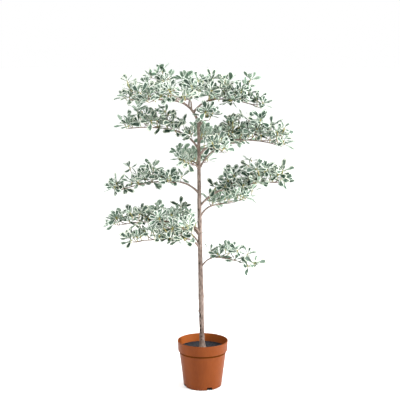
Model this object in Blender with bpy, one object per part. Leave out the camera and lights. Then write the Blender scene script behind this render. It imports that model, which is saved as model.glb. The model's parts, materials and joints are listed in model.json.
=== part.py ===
"""Potted variegated Madagascar almond: a slim trunk with flat, layered boughs, in a plastic nursery pot.

Units are metres, +Z is up. The origin is the centre of the pot's underside, -Y is the front and +X the
right-hand side seen from the front. Headings are degrees round Z: 0 is right, 90 back, 180 left, 270 front.
"""

import math
import random
from collections import namedtuple

import bmesh
import bpy
import numpy as np
from mathutils import Vector

GAP = 0.0003  # clear space between neighbouring solids

# Pot: a thin tapered wall with a wider band round its rim
POT_HEIGHT = 0.235
RIM_RADIUS = 0.127
BAND_HEIGHT = 0.0515
BAND_FOOT_RADIUS = 0.124
BAND_STEP = 0.008  # height of the sloping ledge under the band
NECK_RADIUS = 0.1175  # the wall just under the band
BASE_RADIUS = 0.095
BASE_CORNER = 0.008
CORNER_STEPS = 2
WALL = 0.003
FLOOR = 0.004
POT_SEGMENTS = 32
NOTCH_COUNT = 4
NOTCH_TURN = 21.0
NOTCH_WIDTH = 0.028
NOTCH_HEIGHT = 0.012
NOTCH_DEPTH = 0.020
NOTCH_CORNER = 0.003
NOTCH_RING = 0.002  # a ring of edges this far above the notches keeps their shading local
CUTTER_OVERRUN = 0.010

# Compost
SOIL_LEVEL = 0.195

# Trunk
TRUNK_TOP = 1.3265
TRUNK_FOOT_RADIUS = 0.0118
TRUNK_TOP_RADIUS = 0.0058
FLARE_RADIUS = 0.0085  # how much the root flare adds at the soil
FLARE_HEIGHT = 0.022
SWELLING = 0.0016
SWELLING_LEVEL = 0.45
SWELLING_SPREAD = 0.06
FLARE_RINGS = (0.0, 0.35, 0.8, 1.5, 2.6)  # heights of its rings, in flare heights
LEAN = -0.020  # sideways shift of the trunk's top
LEAN_START = -0.002
LEAN_POWER = 1.6
SWAY = 0.006  # front to back
SWAY_TURNS = 1.1
TRUNK_SIDES = 12
TRUNK_RINGS = 11
STUB_LEVEL = 1.305  # a short cut side shoot just under the fork
STUB_LENGTH = 0.034
STUB_RADIUS = 0.0034
STUB_TAPER = 0.85
STUB_SIDES = 6
STUB_TILT = 55.0
STUB_HEADING = 5.0

# Boughs
BOUGH_SIDES = 6
STEM_SIDES = 4
LIMB_STEP = 0.030
STEM_STEP = 0.050
STEP_GROWTH = 1.25  # rings stand closer together near a limb's foot, where it bends most
LIMB_TIP_RADIUS = 0.0017
LIMB_WAVE = 0.004
WAVE_TURNS = 1.5
TAPER_POWER = 0.75

# Twigs: they leave the stem to either side by turns, and end in an upright spur with a rosette of leaves
TWIG_SPACING = 0.058
FEWEST_TWIGS = 3
FIRST_TWIG = 0.35  # in spacings from the stem's start
TWIG_JITTER = 0.12  # of their spacing
TWIG_SIDES = 3
TWIG_RADIUS = 0.0022
TWIG_ANGLE_FOOT = 64.0
TWIG_ANGLE_TIP = 36.0
TWIG_CURVE = 0.12  # how far a twig's end swings forwards, as a share of its length
TWIG_LENGTHS = (0.55, 0.8, 1.0)  # shares of the foliage's half-width there
TWIG_RISES = (0.1, 0.8, 0.3, 1.0, 0.0, 0.55)  # shares of the foliage's height, by turns
RISE_SPREAD = 0.15
TWIG_TRIES = (1.0, 0.7, 0.45)  # a twig that doesn't fit is tried again, shorter
WIDEST_SHARE = 0.42  # where along its stem the foliage is widest, and how fast it narrows from there
WIDTH_RANGE = 0.72
LEAST_WIDTH = 0.32
SPUR_RADIUS = 0.0024
SPUR_HEIGHT = 0.018
SPUR_LEAN = 0.35
END_SPUR_LEAN = 0.6
END_SPUR_INSET = 0.004

# Leaves, larger and fewer than on the plant, so that the crown keeps its outline
LEAVES_IN_ROSETTE = 5
ROSETTE_STEP = 0.003  # down the spur from one leaf to the next
ROSETTE_TOP = 0.001
ROSETTE_SPLAY = (50, 92)  # degrees from the spur
MIDDLE_SPLAY = (8, 30)  # of a rosette's first leaf
LEAF_LENGTH = 0.068
LEAF_LENGTHS = (0.85, 1.12)
LEAF_WIDTH = 0.50  # of its length
LEAF_WIDEST = 0.60
LEAF_END = 0.95  # where its blunt end starts
LEAF_END_WIDTH = 0.45  # of its width
LEAF_THICKNESS = 0.05
LEAF_CUP = 0.12  # how far its edges rise, as a share of its half-width
LEAF_NOD = 0.08  # how far its end bends down, as a share of its length
LEAF_ROLL = 22.0
LEAF_SINK = 0.0006
LEAF_SPACING = 0.011
TWIG_LEAF_SPACING = 0.040
TWIG_LEAF_RISE = (15, 60)
GOLDEN_TURN = math.radians(137.5)

# Each mass keeps to its own space
LIMB_CLEARANCE = 0.0025
STEM_CLEARANCE = 0.010  # from another mass's stem
SPACE_MARGIN = 0.0025
SAMPLE_SPACING = 0.008
SPACE_LIFT = 0.030  # foliage stands above its stem, so its space is measured from this much higher

UP = Vector((0, 0, 1))

Bough = namedtuple(
    "Bough",
    "name parent start heading reach rise knee droop bend radius bare spread height seed",
)

# start is the height on the trunk, or the distance out along the leader. A bough rises to about rise, most of
# it within its first knee or two, then sinks by droop at its tip, bend is how far that tip swings to the left
# of the heading, and radius is the limb's at its foot. bare is the share of its reach without leaves, spread
# the half-width of its foliage, height how far the highest rosettes stand over it, and seed deals its twigs.
BOUGH_TABLE = (
    ("low_right", "trunk", 0.6, 348, 0.235, 0.075, 0.035, 0.048, 0.012, 0.0036, 0.2, 0.06, 0.04, 5),
    ("low_left", "trunk", 0.7, 205, 0.33, 0.068, 0.035, 0.004, -0.02, 0.0046, 0.14, 0.105, 0.05, 5),
    ("low_back", "trunk", 0.715, 124, 0.31, 0.06, 0.045, 0.02, 0.02, 0.0042, 0.2, 0.09, 0.03, 16),
    ("middle_low_left", "trunk", 0.768, 174, 0.395, 0.08, 0.055, 0.03, 0.01, 0.0048, 0.18, 0.085, 0.025, 3),
    ("middle_front", "trunk", 0.775, 244, 0.28, 0.065, 0.045, 0.01, -0.02, 0.0042, 0.2, 0.09, 0.045, 11),
    ("middle_right", "trunk", 0.915, 343, 0.405, 0.14, 0.11, 0.004, 0.02, 0.0052, 0.16, 0.105, 0.06, 23),
    ("middle_back_right", "trunk", 0.855, 40, 0.3, 0.062, 0.035, 0.0, 0.015, 0.0042, 0.16, 0.095, 0.03, 7),
    ("middle_back_left", "trunk", 0.78, 140, 0.32, 0.055, 0.05, 0.012, -0.01, 0.0042, 0.22, 0.09, 0.02, 24),
    ("upper_left", "trunk", 0.98, 184, 0.385, 0.085, 0.07, 0.065, -0.012, 0.0048, 0.2, 0.085, 0.05, 5),
    ("upper_front", "trunk", 1.1, 240, 0.12, 0.045, 0.045, 0.0, 0.01, 0.0034, 0.24, 0.06, 0.02, 2),
    ("upper_right", "trunk", 1.17, 346, 0.395, 0.112, 0.105, 0.05, -0.015, 0.0052, 0.16, 0.105, 0.075, 11),
    ("upper_back_right", "trunk", 1.1, 42, 0.31, 0.12, 0.08, 0.0, 0.01, 0.0042, 0.22, 0.095, 0.035, 22),
    ("upper_back", "trunk", 1.07, 98, 0.3, 0.055, 0.045, 0.015, 0.01, 0.004, 0.24, 0.08, 0.03, 6),
    ("high_left", "trunk", 1.2, 176, 0.34, 0.118, 0.075, 0.018, -0.01, 0.0046, 0.12, 0.085, 0.055, 23),
    ("high_front_right", "trunk", 1.16, 290, 0.26, 0.07, 0.06, 0.01, 0.015, 0.0038, 0.22, 0.08, 0.035, 8),
    ("high_back", "trunk", 1.195, 84, 0.31, 0.06, 0.055, 0.03, -0.015, 0.0038, 0.24, 0.08, 0.03, 15),
    ("leader", "top", 0.0, 189, 0.335, 0.12, 0.045, 0.004, 0.01, 0.0056, 0.26, 0.085, 0.045, 4),
    ("crown_left", "leader", 0.07, 148, 0.15, 0.16, 0.12, 0.0, -0.01, 0.0036, 0.46, 0.07, 0.035, 23),
    ("crown_back", "leader", 0.05, 82, 0.29, 0.09, 0.08, 0.03, 0.015, 0.0036, 0.2, 0.09, 0.045, 15),
    ("crown_right", "leader", 0.026, 3, 0.315, 0.085, 0.06, 0.06, 0.01, 0.0042, 0.14, 0.1, 0.08, 1),
    ("crown_front", "leader", 0.036, 268, 0.24, 0.07, 0.05, 0.01, -0.015, 0.0036, 0.2, 0.09, 0.055, 21),
    ("crown_front_left", "leader", 0.064, 226, 0.24, 0.045, 0.05, 0.02, 0.012, 0.0032, 0.22, 0.08, 0.035, 18),
    ("fork_front", "trunk", 1.29, 300, 0.06, 0.08, 0.025, 0.0, 0.005, 0.0028, 0.36, 0.03, 0.006, 17),
)
BOUGHS = [Bough(*row) for row in BOUGH_TABLE]

COLOURS = {
    # name: (base colour, roughness)
    "pot": ((0.50, 0.16, 0.055), 0.42),
    "compost": ((0.018, 0.018, 0.020), 0.95),
    "bark": ((0.36, 0.27, 0.22), 0.85),
    "foliage": ((0.30, 0.40, 0.32), 0.55),
}


# ---------------------------------------------------------------- scene and mesh helpers


def clear_scene():
    for obj in list(bpy.data.objects):
        bpy.data.objects.remove(obj)


def make_materials():
    made = {}
    for name, (colour, roughness) in COLOURS.items():
        material = bpy.data.materials.new(name)
        material.use_nodes = True
        shader = material.node_tree.nodes["Principled BSDF"]
        shader.inputs["Base Color"].default_value = (*colour, 1.0)
        shader.inputs["Roughness"].default_value = roughness
        shader.inputs["Metallic"].default_value = 0.0
        made[name] = material
    return made


def object_from(bm, name, material=None, smooth_angle=40.0):
    """Links the bmesh as a named object, with its faces turned outwards."""
    bmesh.ops.recalc_face_normals(bm, faces=bm.faces)
    mesh = bpy.data.meshes.new(name)
    bm.to_mesh(mesh)
    bm.free()
    mesh.shade_smooth()
    mesh.set_sharp_from_angle(angle=math.radians(smooth_angle))
    obj = bpy.data.objects.new(name, mesh)
    if material:
        mesh.materials.append(material)
    bpy.context.scene.collection.objects.link(obj)
    return obj


def make_cutter(obj):
    obj.hide_render = True
    obj.display_type = "WIRE"
    return obj


def add_boolean(obj, other, operation="DIFFERENCE"):
    """Cuts or joins the object with another object, or with a whole collection."""
    modifier = obj.modifiers.new(operation.lower(), "BOOLEAN")
    modifier.operation = operation
    modifier.solver = "EXACT"
    if isinstance(other, bpy.types.Collection):
        modifier.operand_type = "COLLECTION"
        modifier.collection = other
    else:
        modifier.object = other


def apply_modifiers(obj):
    """Replaces the object's mesh by what its modifiers make of it."""
    bpy.context.view_layer.update()
    graph = bpy.context.evaluated_depsgraph_get()
    mesh = bpy.data.meshes.new_from_object(obj.evaluated_get(graph))
    obj.modifiers.clear()
    obj.data = mesh


def tube(points, radii, sides, first_normal=None, last_normal=None):
    """A closed tube through the points, as a bmesh. Its rings turn with the path and don't twist."""
    bm = bmesh.new()
    directions = [(b - a).normalized() for a, b in zip(points, points[1:])]
    normals = [directions[0]]
    normals += [(a + b).normalized() for a, b in zip(directions, directions[1:])]
    normals.append(directions[-1])
    normals[0] = first_normal or normals[0]
    normals[-1] = last_normal or normals[-1]
    across = normals[0].orthogonal().normalized()
    rings = []
    for point, normal, radius in zip(points, normals, radii):
        across = (across - normal * across.dot(normal)).normalized()
        other = normal.cross(across)
        ring = []
        for k in range(sides):
            angle = math.tau * k / sides
            offset = across * math.cos(angle) + other * math.sin(angle)
            ring.append(bm.verts.new(point + offset * radius))
        rings.append(ring)
    for low, high in zip(rings, rings[1:]):
        for k in range(sides):
            after = (k + 1) % sides
            bm.faces.new((low[k], low[after], high[after], high[k]))
    bm.faces.new(rings[0])
    bm.faces.new(rings[-1])
    return bm


def turned(profile, segments):
    """A closed solid of revolution round Z. The profile is (radius, height) pairs, ending on the axis."""
    bm = bmesh.new()
    chain = [bm.verts.new((radius, 0.0, height)) for radius, height in profile]
    edges = [bm.edges.new(pair) for pair in zip(chain, chain[1:])]
    bmesh.ops.spin(
        bm,
        geom=chain + edges,
        cent=(0, 0, 0),
        axis=(0, 0, 1),
        angle=math.tau,
        steps=segments,
        use_merge=True,
    )
    bmesh.ops.remove_doubles(bm, verts=bm.verts, dist=1e-6)
    return bm


# ---------------------------------------------------------------- pot and compost


def side_radius(height):
    """The wall's outer radius at a height under the band."""
    return BASE_RADIUS + (NECK_RADIUS - BASE_RADIUS) * height / (POT_HEIGHT - BAND_HEIGHT - BAND_STEP)


def pot_inner_profile(clearance=0.0):
    """(radius, height) of the pot's inside from the floor up to the rim, drawn in by the clearance."""
    ledge = POT_HEIGHT - BAND_HEIGHT
    inset = WALL + clearance
    return [
        (BASE_RADIUS - inset, FLOOR + clearance),
        (NECK_RADIUS - inset, ledge - BAND_STEP + WALL),
        (BAND_FOOT_RADIUS - inset, ledge + WALL + clearance),
        (RIM_RADIUS - inset, POT_HEIGHT),
    ]


def pot_outer_profile():
    """(radius, height) of the outside from the rim down to the underside's edge."""
    ledge = POT_HEIGHT - BAND_HEIGHT
    ring = NOTCH_HEIGHT + NOTCH_RING
    profile = [
        (RIM_RADIUS, POT_HEIGHT),
        (BAND_FOOT_RADIUS, ledge),
        (NECK_RADIUS, ledge - BAND_STEP),
        (side_radius(ring), ring),
    ]
    for k in range(CORNER_STEPS + 1):
        angle = math.pi / 2 * k / CORNER_STEPS
        inwards, down = BASE_CORNER * (1 - math.cos(angle)), BASE_CORNER * math.sin(angle)
        profile.append((side_radius(BASE_CORNER) - inwards, BASE_CORNER - down))
    return profile


def radius_at(profile, height):
    """The profile's radius at a height, between its points."""
    for (r0, z0), (r1, z1) in zip(profile, profile[1:]):
        if z0 <= height <= z1:
            return r0 + (r1 - r0) * (height - z0) / (z1 - z0)
    return profile[-1][0]


def notch_cutter():
    """One mesh of boxes that cut the drainage notches through the foot of the wall."""
    bm = bmesh.new()
    distances = (BASE_RADIUS - NOTCH_DEPTH, BASE_RADIUS + CUTTER_OVERRUN)
    for k in range(NOTCH_COUNT):
        turn = math.radians(NOTCH_TURN) + math.tau * k / NOTCH_COUNT
        outward = Vector((math.cos(turn), math.sin(turn), 0))
        sideways = Vector((-math.sin(turn), math.cos(turn), 0))
        half = NOTCH_WIDTH / 2
        outline = [
            (-half, -CUTTER_OVERRUN),
            (half, -CUTTER_OVERRUN),
            (half, NOTCH_HEIGHT - NOTCH_CORNER),
            (half - NOTCH_CORNER, NOTCH_HEIGHT),
            (-half + NOTCH_CORNER, NOTCH_HEIGHT),
            (-half, NOTCH_HEIGHT - NOTCH_CORNER),
        ]
        ends = []
        for distance in distances:
            centre = outward * distance
            ends.append([bm.verts.new(centre + sideways * s + UP * z) for s, z in outline])
        bm.faces.new(ends[0])
        bm.faces.new(ends[1])
        for this in range(len(outline)):
            after = (this + 1) % len(outline)
            bm.faces.new((ends[0][this], ends[0][after], ends[1][after], ends[1][this]))
    return make_cutter(object_from(bm, "notch_cutter"))


def make_pot(material):
    inside = pot_inner_profile()
    profile = [(0.0, FLOOR), *inside, *pot_outer_profile(), (0.0, 0.0)]
    pot = object_from(turned(profile, POT_SEGMENTS), "pot", material, smooth_angle=30.0)
    add_boolean(pot, notch_cutter())


def make_compost(material):
    inside = pot_inner_profile(GAP)
    top_radius = radius_at(inside, SOIL_LEVEL)
    below = [point for point in inside if point[1] < SOIL_LEVEL]
    profile = [(0.0, FLOOR + GAP), *below, (top_radius, SOIL_LEVEL), (0.0, SOIL_LEVEL)]
    object_from(turned(profile, POT_SEGMENTS), "compost", material, smooth_angle=30.0)


# ---------------------------------------------------------------- trunk


def trunk_axis(height):
    """The trunk's centre line: it leans left and sways a little from front to back."""
    share = (height - SOIL_LEVEL) / (TRUNK_TOP - SOIL_LEVEL)
    left = LEAN_START + (LEAN - LEAN_START) * (1 - max(0.0, 1 - share) ** LEAN_POWER)
    return Vector((left, SWAY * math.sin(math.tau * SWAY_TURNS * share) * share, height))


def trunk_radius(height):
    share = (height - SOIL_LEVEL) / (TRUNK_TOP - SOIL_LEVEL)
    radius = TRUNK_FOOT_RADIUS + (TRUNK_TOP_RADIUS - TRUNK_FOOT_RADIUS) * share**2
    flare = FLARE_RADIUS * math.exp(-(height - SOIL_LEVEL) / FLARE_HEIGHT)
    swelling = SWELLING * math.exp(-(((height - SWELLING_LEVEL) / SWELLING_SPREAD) ** 2))
    return radius + flare + swelling


def trunk_levels():
    """Ring heights, closer together in the root flare."""
    flare = [SOIL_LEVEL + GAP + FLARE_HEIGHT * share for share in FLARE_RINGS]
    rest = TRUNK_RINGS - len(flare)
    return flare + [flare[-1] + (TRUNK_TOP - flare[-1]) * (k + 1) / rest for k in range(rest)]


def trunk_tube(extra=0.0):
    """The trunk's shape, grown on every side by extra."""
    levels = trunk_levels()
    levels[0] -= extra
    levels[-1] += extra
    radii = [trunk_radius(z) + extra for z in levels]
    return tube([trunk_axis(z) for z in levels], radii, TRUNK_SIDES, UP, UP)


def stub_tube(extra=0.0):
    """The cut side shoot near the fork, rooted in the trunk."""
    heading, tilt = math.radians(STUB_HEADING), math.radians(STUB_TILT)
    level = Vector((math.cos(heading), math.sin(heading), 0))
    direction = level * math.cos(tilt) + UP * math.sin(tilt)
    foot = trunk_axis(STUB_LEVEL)
    radii = [STUB_RADIUS + extra, STUB_RADIUS * STUB_TAPER + extra]
    return tube([foot, foot + direction * (STUB_LENGTH + extra)], radii, STUB_SIDES)


def joined_trunk(name, material=None, extra=0.0):
    trunk = object_from(trunk_tube(extra), name, material)
    stub = object_from(stub_tube(extra), name + "_stub")
    add_boolean(trunk, stub, "UNION")
    apply_modifiers(trunk)
    bpy.data.objects.remove(stub)
    return trunk


# ---------------------------------------------------------------- limbs


def bough_named(name):
    return next(bough for bough in BOUGHS if bough.name == name)


def limb_foot(bough):
    """Where the limb's centre line starts, on its parent's."""
    if bough.parent == "trunk":
        return trunk_axis(bough.start)
    if bough.parent == "top":
        return trunk_axis(TRUNK_TOP) + UP * GAP
    return limb_point(bough_named(bough.parent), bough.start)


def limb_point(bough, out):
    """The limb's centre line at a level distance out from its foot."""
    heading = math.radians(bough.heading)
    share = out / bough.reach
    wave = LIMB_WAVE * math.sin(math.tau * WAVE_TURNS * share) * share
    sideways = bough.bend * share**2 + wave
    lift = bough.rise * (1 - math.exp(-out / bough.knee)) - bough.droop * share**2
    along = Vector((math.cos(heading), math.sin(heading), 0))
    across = Vector((-math.sin(heading), math.cos(heading), 0))
    return limb_foot(bough) + along * out + across * sideways + UP * (lift + wave / 2)


def limb_direction(bough, out):
    step = 0.0005
    return (limb_point(bough, out + step) - limb_point(bough, out - step)).normalized()


def limb_radius(bough, out):
    share = min(1.0, out / bough.reach)
    return LIMB_TIP_RADIUS + (bough.radius - LIMB_TIP_RADIUS) * (1 - share) ** TAPER_POWER


def limb_stations(bough, start, end, step=LIMB_STEP):
    """Level distances along a limb, closer together near its foot, where it bends most."""
    count = max(2, round((end - start) / step) + 1)
    evenly = [k / count for k in range(count + 1)]
    return [start + (end - start) * share**STEP_GROWTH for share in evenly]


def limb_tube(bough, stations, sides, extra=0.0):
    points = [limb_point(bough, out) for out in stations]
    radii = [limb_radius(bough, out) + extra for out in stations]
    ends = [limb_direction(bough, stations[0]), limb_direction(bough, stations[-1])]
    if bough.parent == "top" and stations[0] == 0:
        ends[0] = UP  # it stands on the trunk's flat top
    return tube(points, radii, sides, *ends)


def bare_end(bough):
    return bough.bare * bough.reach


def make_bough(bough, material, cutters):
    """The bare limb, cut clear of what it grows from."""
    stations = limb_stations(bough, 0.0, bare_end(bough))
    obj = object_from(limb_tube(bough, stations, BOUGH_SIDES), bough.name + "_bough", material)
    for parent, cutter in cutters.items():
        if parent == bough.parent or (parent == "trunk" and bough.parent == "leader"):
            add_boolean(obj, cutter)


# ---------------------------------------------------------------- each mass's own space


def segments_with_radii(points, radii):
    """The path's segments as arrays of their starts, their ends and the larger radius of each."""
    line = np.array([tuple(point) for point in points])
    return line[:-1], line[1:], np.maximum(radii[:-1], radii[1:])


def limb_segments(bough, stations):
    points = [limb_point(bough, out) for out in stations]
    return segments_with_radii(points, [limb_radius(bough, out) for out in stations])


def clearance(points, segments):
    """How far each point lies from the surface of the nearest segment."""
    starts, ends, radii = segments
    away = points[:, None, :] - starts
    along = ends - starts
    share = np.clip((away * along).sum(2) / (along**2).sum(1), 0, 1)
    return (np.linalg.norm(away - along * share[..., None], axis=2) - radii).min(1)


class Spaces:
    """Which points a mass may use: those nearer its own raised stem than any other, and clear of the wood."""

    def __init__(self):
        self.raised, self.stems = {}, {}
        levels = trunk_levels()
        walls = [segments_with_radii([trunk_axis(z) for z in levels], [trunk_radius(z) for z in levels])]
        for bough in BOUGHS:
            bare = limb_stations(bough, 0.0, bare_end(bough))
            leafy = limb_stations(bough, bare_end(bough), bough.reach)
            walls.append(limb_segments(bough, bare))
            starts, ends, radii = limb_segments(bough, leafy)
            self.stems[bough.name] = starts, ends, radii
            lift = np.array(UP * SPACE_LIFT)
            self.raised[bough.name] = starts + lift, ends + lift, radii * 0
        self.wood = tuple(np.concatenate(parts) for parts in zip(*walls))

    def free(self, name, points):
        """True if all the points lie in that mass's space."""
        points = np.array([tuple(point) for point in points])
        if clearance(points, self.wood).min() < LIMB_CLEARANCE:
            return False
        own = clearance(points, self.raised[name])
        for other, stem in self.stems.items():
            if other == name:
                continue
            if clearance(points, stem).min() < STEM_CLEARANCE:
                return False
            if (clearance(points, self.raised[other]) - own).min() < SPACE_MARGIN:
                return False
        return True


# ---------------------------------------------------------------- twigs and leaves


def leaf_mesh(root, direction, face, length):
    """A leaf of eight faces, widest past its middle and blunt at its end, as a bmesh, and its outline."""
    side = direction.cross(face).normalized()
    half = length * LEAF_WIDTH / 2
    outline = [(0.0, 0.0), (LEAF_WIDEST, 1.0), (LEAF_END, LEAF_END_WIDTH)]
    outline += [(LEAF_END, -LEAF_END_WIDTH), (LEAF_WIDEST, -1.0)]
    bm = bmesh.new()
    rim = []
    for along, across in outline:
        curl = abs(across) * half * LEAF_CUP - along**3 * length * LEAF_NOD
        rim.append(bm.verts.new(root + direction * (along * length) + side * (across * half) + face * curl))
    rim[0].co -= direction * LEAF_SINK
    middle = bm.verts.new(root + direction * (length / 2) + face * (length * LEAF_THICKNESS))
    for k in range(len(rim)):
        bm.faces.new((rim[k], rim[(k + 1) % len(rim)], middle))
    foot, left, left_end, right_end, right = rim
    for corners in ((foot, left, right), (left, left_end, right), (left_end, right_end, right)):
        bm.faces.new(corners)
    return bm, [vert.co.copy() for vert in rim[1:]] + [middle.co.copy()]


def leaf_samples(root, outline):
    """Points spread over a leaf: its outline, and halfway from each of those to the next and to its root."""
    around = [a.lerp(b, 0.5) for a, b in zip(outline, outline[1:])]
    inward = [root.lerp(point, 0.5) for point in outline]
    return outline + around + inward


def points_along(path, start, spacing):
    """Points along a path from a distance start on, about a spacing apart, with its end."""
    found, left = [], start
    for a, b in zip(path, path[1:]):
        length = (b - a).length
        while left < length:
            found.append(a.lerp(b, left / length))
            left += spacing
        left -= length
    return found + [path[-1]]


def leaf_frame(rng, axis, turn, splay):
    """A leaf's direction and upper side, splayed from the rosette's axis."""
    sideways = axis.orthogonal().normalized()
    other = axis.cross(sideways)
    out = sideways * math.cos(turn) + other * math.sin(turn)
    direction = (axis * math.cos(splay) + out * math.sin(splay)).normalized()
    face = (axis * math.sin(splay) - out * math.cos(splay)).normalized()
    roll = math.radians(rng.uniform(-LEAF_ROLL, LEAF_ROLL))
    side = direction.cross(face)
    return direction, (face * math.cos(roll) + side * math.sin(roll)).normalized()


def twig_plan(bough, rng):
    """(distance out, side, length, rise) of each twig: sides by turns, shorter near the stem's ends."""
    start, reach = bare_end(bough), bough.reach
    count = max(FEWEST_TWIGS, round((reach - start) / TWIG_SPACING))
    side = rng.choice((-1, 1))
    plan = []
    for k in range(count):
        share = (k + FIRST_TWIG + rng.uniform(-TWIG_JITTER, TWIG_JITTER)) / count
        width = math.sqrt(max(LEAST_WIDTH**2, 1 - ((share - WIDEST_SHARE) / WIDTH_RANGE) ** 2))
        length = bough.spread * width * rng.choice(TWIG_LENGTHS)
        rise = bough.height * TWIG_RISES[k % len(TWIG_RISES)] * (1 + rng.uniform(-RISE_SPREAD, RISE_SPREAD))
        plan.append((start + (reach - start) * share, side, length, rise))
        side = -side
    return plan


class Mass:
    """The foliage of one bough: a stem, twigs, spurs and leaves, fused into one solid."""

    def __init__(self, bough, spaces, rng):
        self.bough, self.spaces, self.rng = bough, spaces, rng
        self.stations = limb_stations(bough, bare_end(bough) + GAP, bough.reach, STEM_STEP)
        self.pieces = bpy.data.collections.new(bough.name + "_pieces")
        bpy.context.scene.collection.children.link(self.pieces)
        self.leaf_points = []

    def add(self, bm):
        obj = object_from(bm, f"{self.bough.name}_piece_{len(self.pieces.objects)}")
        self.pieces.objects.link(obj)
        bpy.context.scene.collection.objects.unlink(obj)

    def stem_point(self, out):
        """The middle of the stem's tube at a level distance out, on the straight stretch there."""
        k = next(k for k, station in enumerate(self.stations) if station >= out)
        near, far = self.stations[max(0, k - 1)], self.stations[k]
        share = (out - near) / (far - near) if far > near else 0.0
        return limb_point(self.bough, near).lerp(limb_point(self.bough, far), share)

    def leaf(self, root, direction, face):
        """Adds a leaf, if it stays in the mass's space and clear of the leaves already there."""
        bm, outline = leaf_mesh(root, direction, face, LEAF_LENGTH * self.rng.uniform(*LEAF_LENGTHS))
        crowded = any((p - q).length < LEAF_SPACING for p in outline for q in self.leaf_points)
        if crowded or not self.spaces.free(self.bough.name, leaf_samples(root, outline)):
            bm.free()
            return
        self.add(bm)
        self.leaf_points += outline

    def rosette(self, top, axis):
        """Leaves round the end of a spur, each a little lower on it than the last."""
        turn = self.rng.uniform(0, math.tau)
        for k in range(LEAVES_IN_ROSETTE):
            splay = math.radians(self.rng.uniform(*(ROSETTE_SPLAY if k else MIDDLE_SPLAY)))
            direction, face = leaf_frame(self.rng, axis, turn + GOLDEN_TURN * k, splay)
            self.leaf(top - axis * (ROSETTE_TOP + ROSETTE_STEP * k), direction, face)

    def leaves_along(self, start, end, spacing):
        """Single leaves on a stretch of wood, turned on from one to the next and pointing up and outwards."""
        count = round((end - start).length / spacing)
        turn = self.rng.uniform(0, math.tau)
        for k in range(count):
            azimuth, rise = turn + GOLDEN_TURN * k, math.radians(self.rng.uniform(*TWIG_LEAF_RISE))
            level = Vector((math.cos(azimuth), math.sin(azimuth), 0))
            direction = level * math.cos(rise) + UP * math.sin(rise)
            face = UP * math.cos(rise) - level * math.sin(rise)
            self.leaf(start.lerp(end, (k + 0.6) / (count + 0.4)), direction, face)

    def twig(self, out, side, length, rise):
        """A side twig that turns up at its end, in a rosette. Returns False where it won't fit."""
        bough = self.bough
        share = (out - bare_end(bough)) / (bough.reach - bare_end(bough))
        foot = self.stem_point(out)
        ahead = limb_direction(bough, out)
        ahead = Vector((ahead.x, ahead.y, 0)).normalized()
        sideways = Vector((-ahead.y, ahead.x, 0)) * side
        angle = math.radians(TWIG_ANGLE_FOOT + (TWIG_ANGLE_TIP - TWIG_ANGLE_FOOT) * share)
        away = ahead * math.cos(angle) + sideways * math.sin(angle)
        tip = foot + away * length + ahead * (length * TWIG_CURVE) + UP * rise
        top = tip + (UP + away * SPUR_LEAN).normalized() * SPUR_HEIGHT
        if not self.spaces.free(bough.name, points_along([foot, tip, top], STEM_CLEARANCE, SAMPLE_SPACING)):
            return False
        self.add(tube([foot, tip, top], [TWIG_RADIUS, TWIG_RADIUS, SPUR_RADIUS], TWIG_SIDES))
        self.rosette(top, (top - tip).normalized())
        self.leaves_along(foot, tip, TWIG_LEAF_SPACING)
        return True

    def grow(self):
        """The planned twigs, each shortened until it fits or left out, and a rosette at the stem's end."""
        for out, side, length, rise in twig_plan(self.bough, self.rng):
            for shorter in TWIG_TRIES:
                if self.twig(out, side, length * shorter, rise * shorter):
                    break
        ahead = limb_direction(self.bough, self.bough.reach)
        foot = self.stem_point(self.bough.reach - END_SPUR_INSET)
        axis = (UP + ahead * END_SPUR_LEAN).normalized()
        top = foot + axis * SPUR_HEIGHT
        self.add(tube([foot, top], [SPUR_RADIUS, SPUR_RADIUS], TWIG_SIDES))
        self.rosette(top, axis)

    def fuse(self, material):
        """One union of the stem with all the pieces, which are then removed."""
        bough = self.bough
        obj = object_from(limb_tube(bough, self.stations, STEM_SIDES), bough.name + "_foliage", material)
        add_boolean(obj, self.pieces, "UNION")
        apply_modifiers(obj)
        for piece in list(self.pieces.objects):
            bpy.data.objects.remove(piece)
        bpy.data.collections.remove(self.pieces)


# ---------------------------------------------------------------- the whole plant


def main():
    clear_scene()
    materials = make_materials()
    make_pot(materials["pot"])
    make_compost(materials["compost"])
    joined_trunk("trunk", materials["bark"])
    leader = bough_named("leader")
    grown_leader = limb_tube(leader, limb_stations(leader, 0.0, bare_end(leader)), BOUGH_SIDES, GAP)
    cutters = {
        "trunk": make_cutter(joined_trunk("trunk_clearance", extra=GAP)),
        "leader": make_cutter(object_from(grown_leader, "leader_clearance")),
    }
    spaces = Spaces()
    for bough in BOUGHS:
        make_bough(bough, materials["bark"], cutters)
        mass = Mass(bough, spaces, random.Random(bough.seed))
        mass.grow()
        mass.fuse(materials["foliage"])


main()
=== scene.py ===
"""Looks of the potted variegated Madagascar almond: bark, twigs, spurs, leaves, pot and compost.

Metres, +Z up, the origin under the pot, -Y the front. Headings are degrees round Z: 0 right, 180 left.
The limbs and the first twigs follow the same named values and the same seeds as the CAD part.
"""

import itertools
import json
import math
import random
from collections import namedtuple

import bmesh
import bpy
import numpy as np
from mathutils import Matrix, Vector, noise

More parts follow.
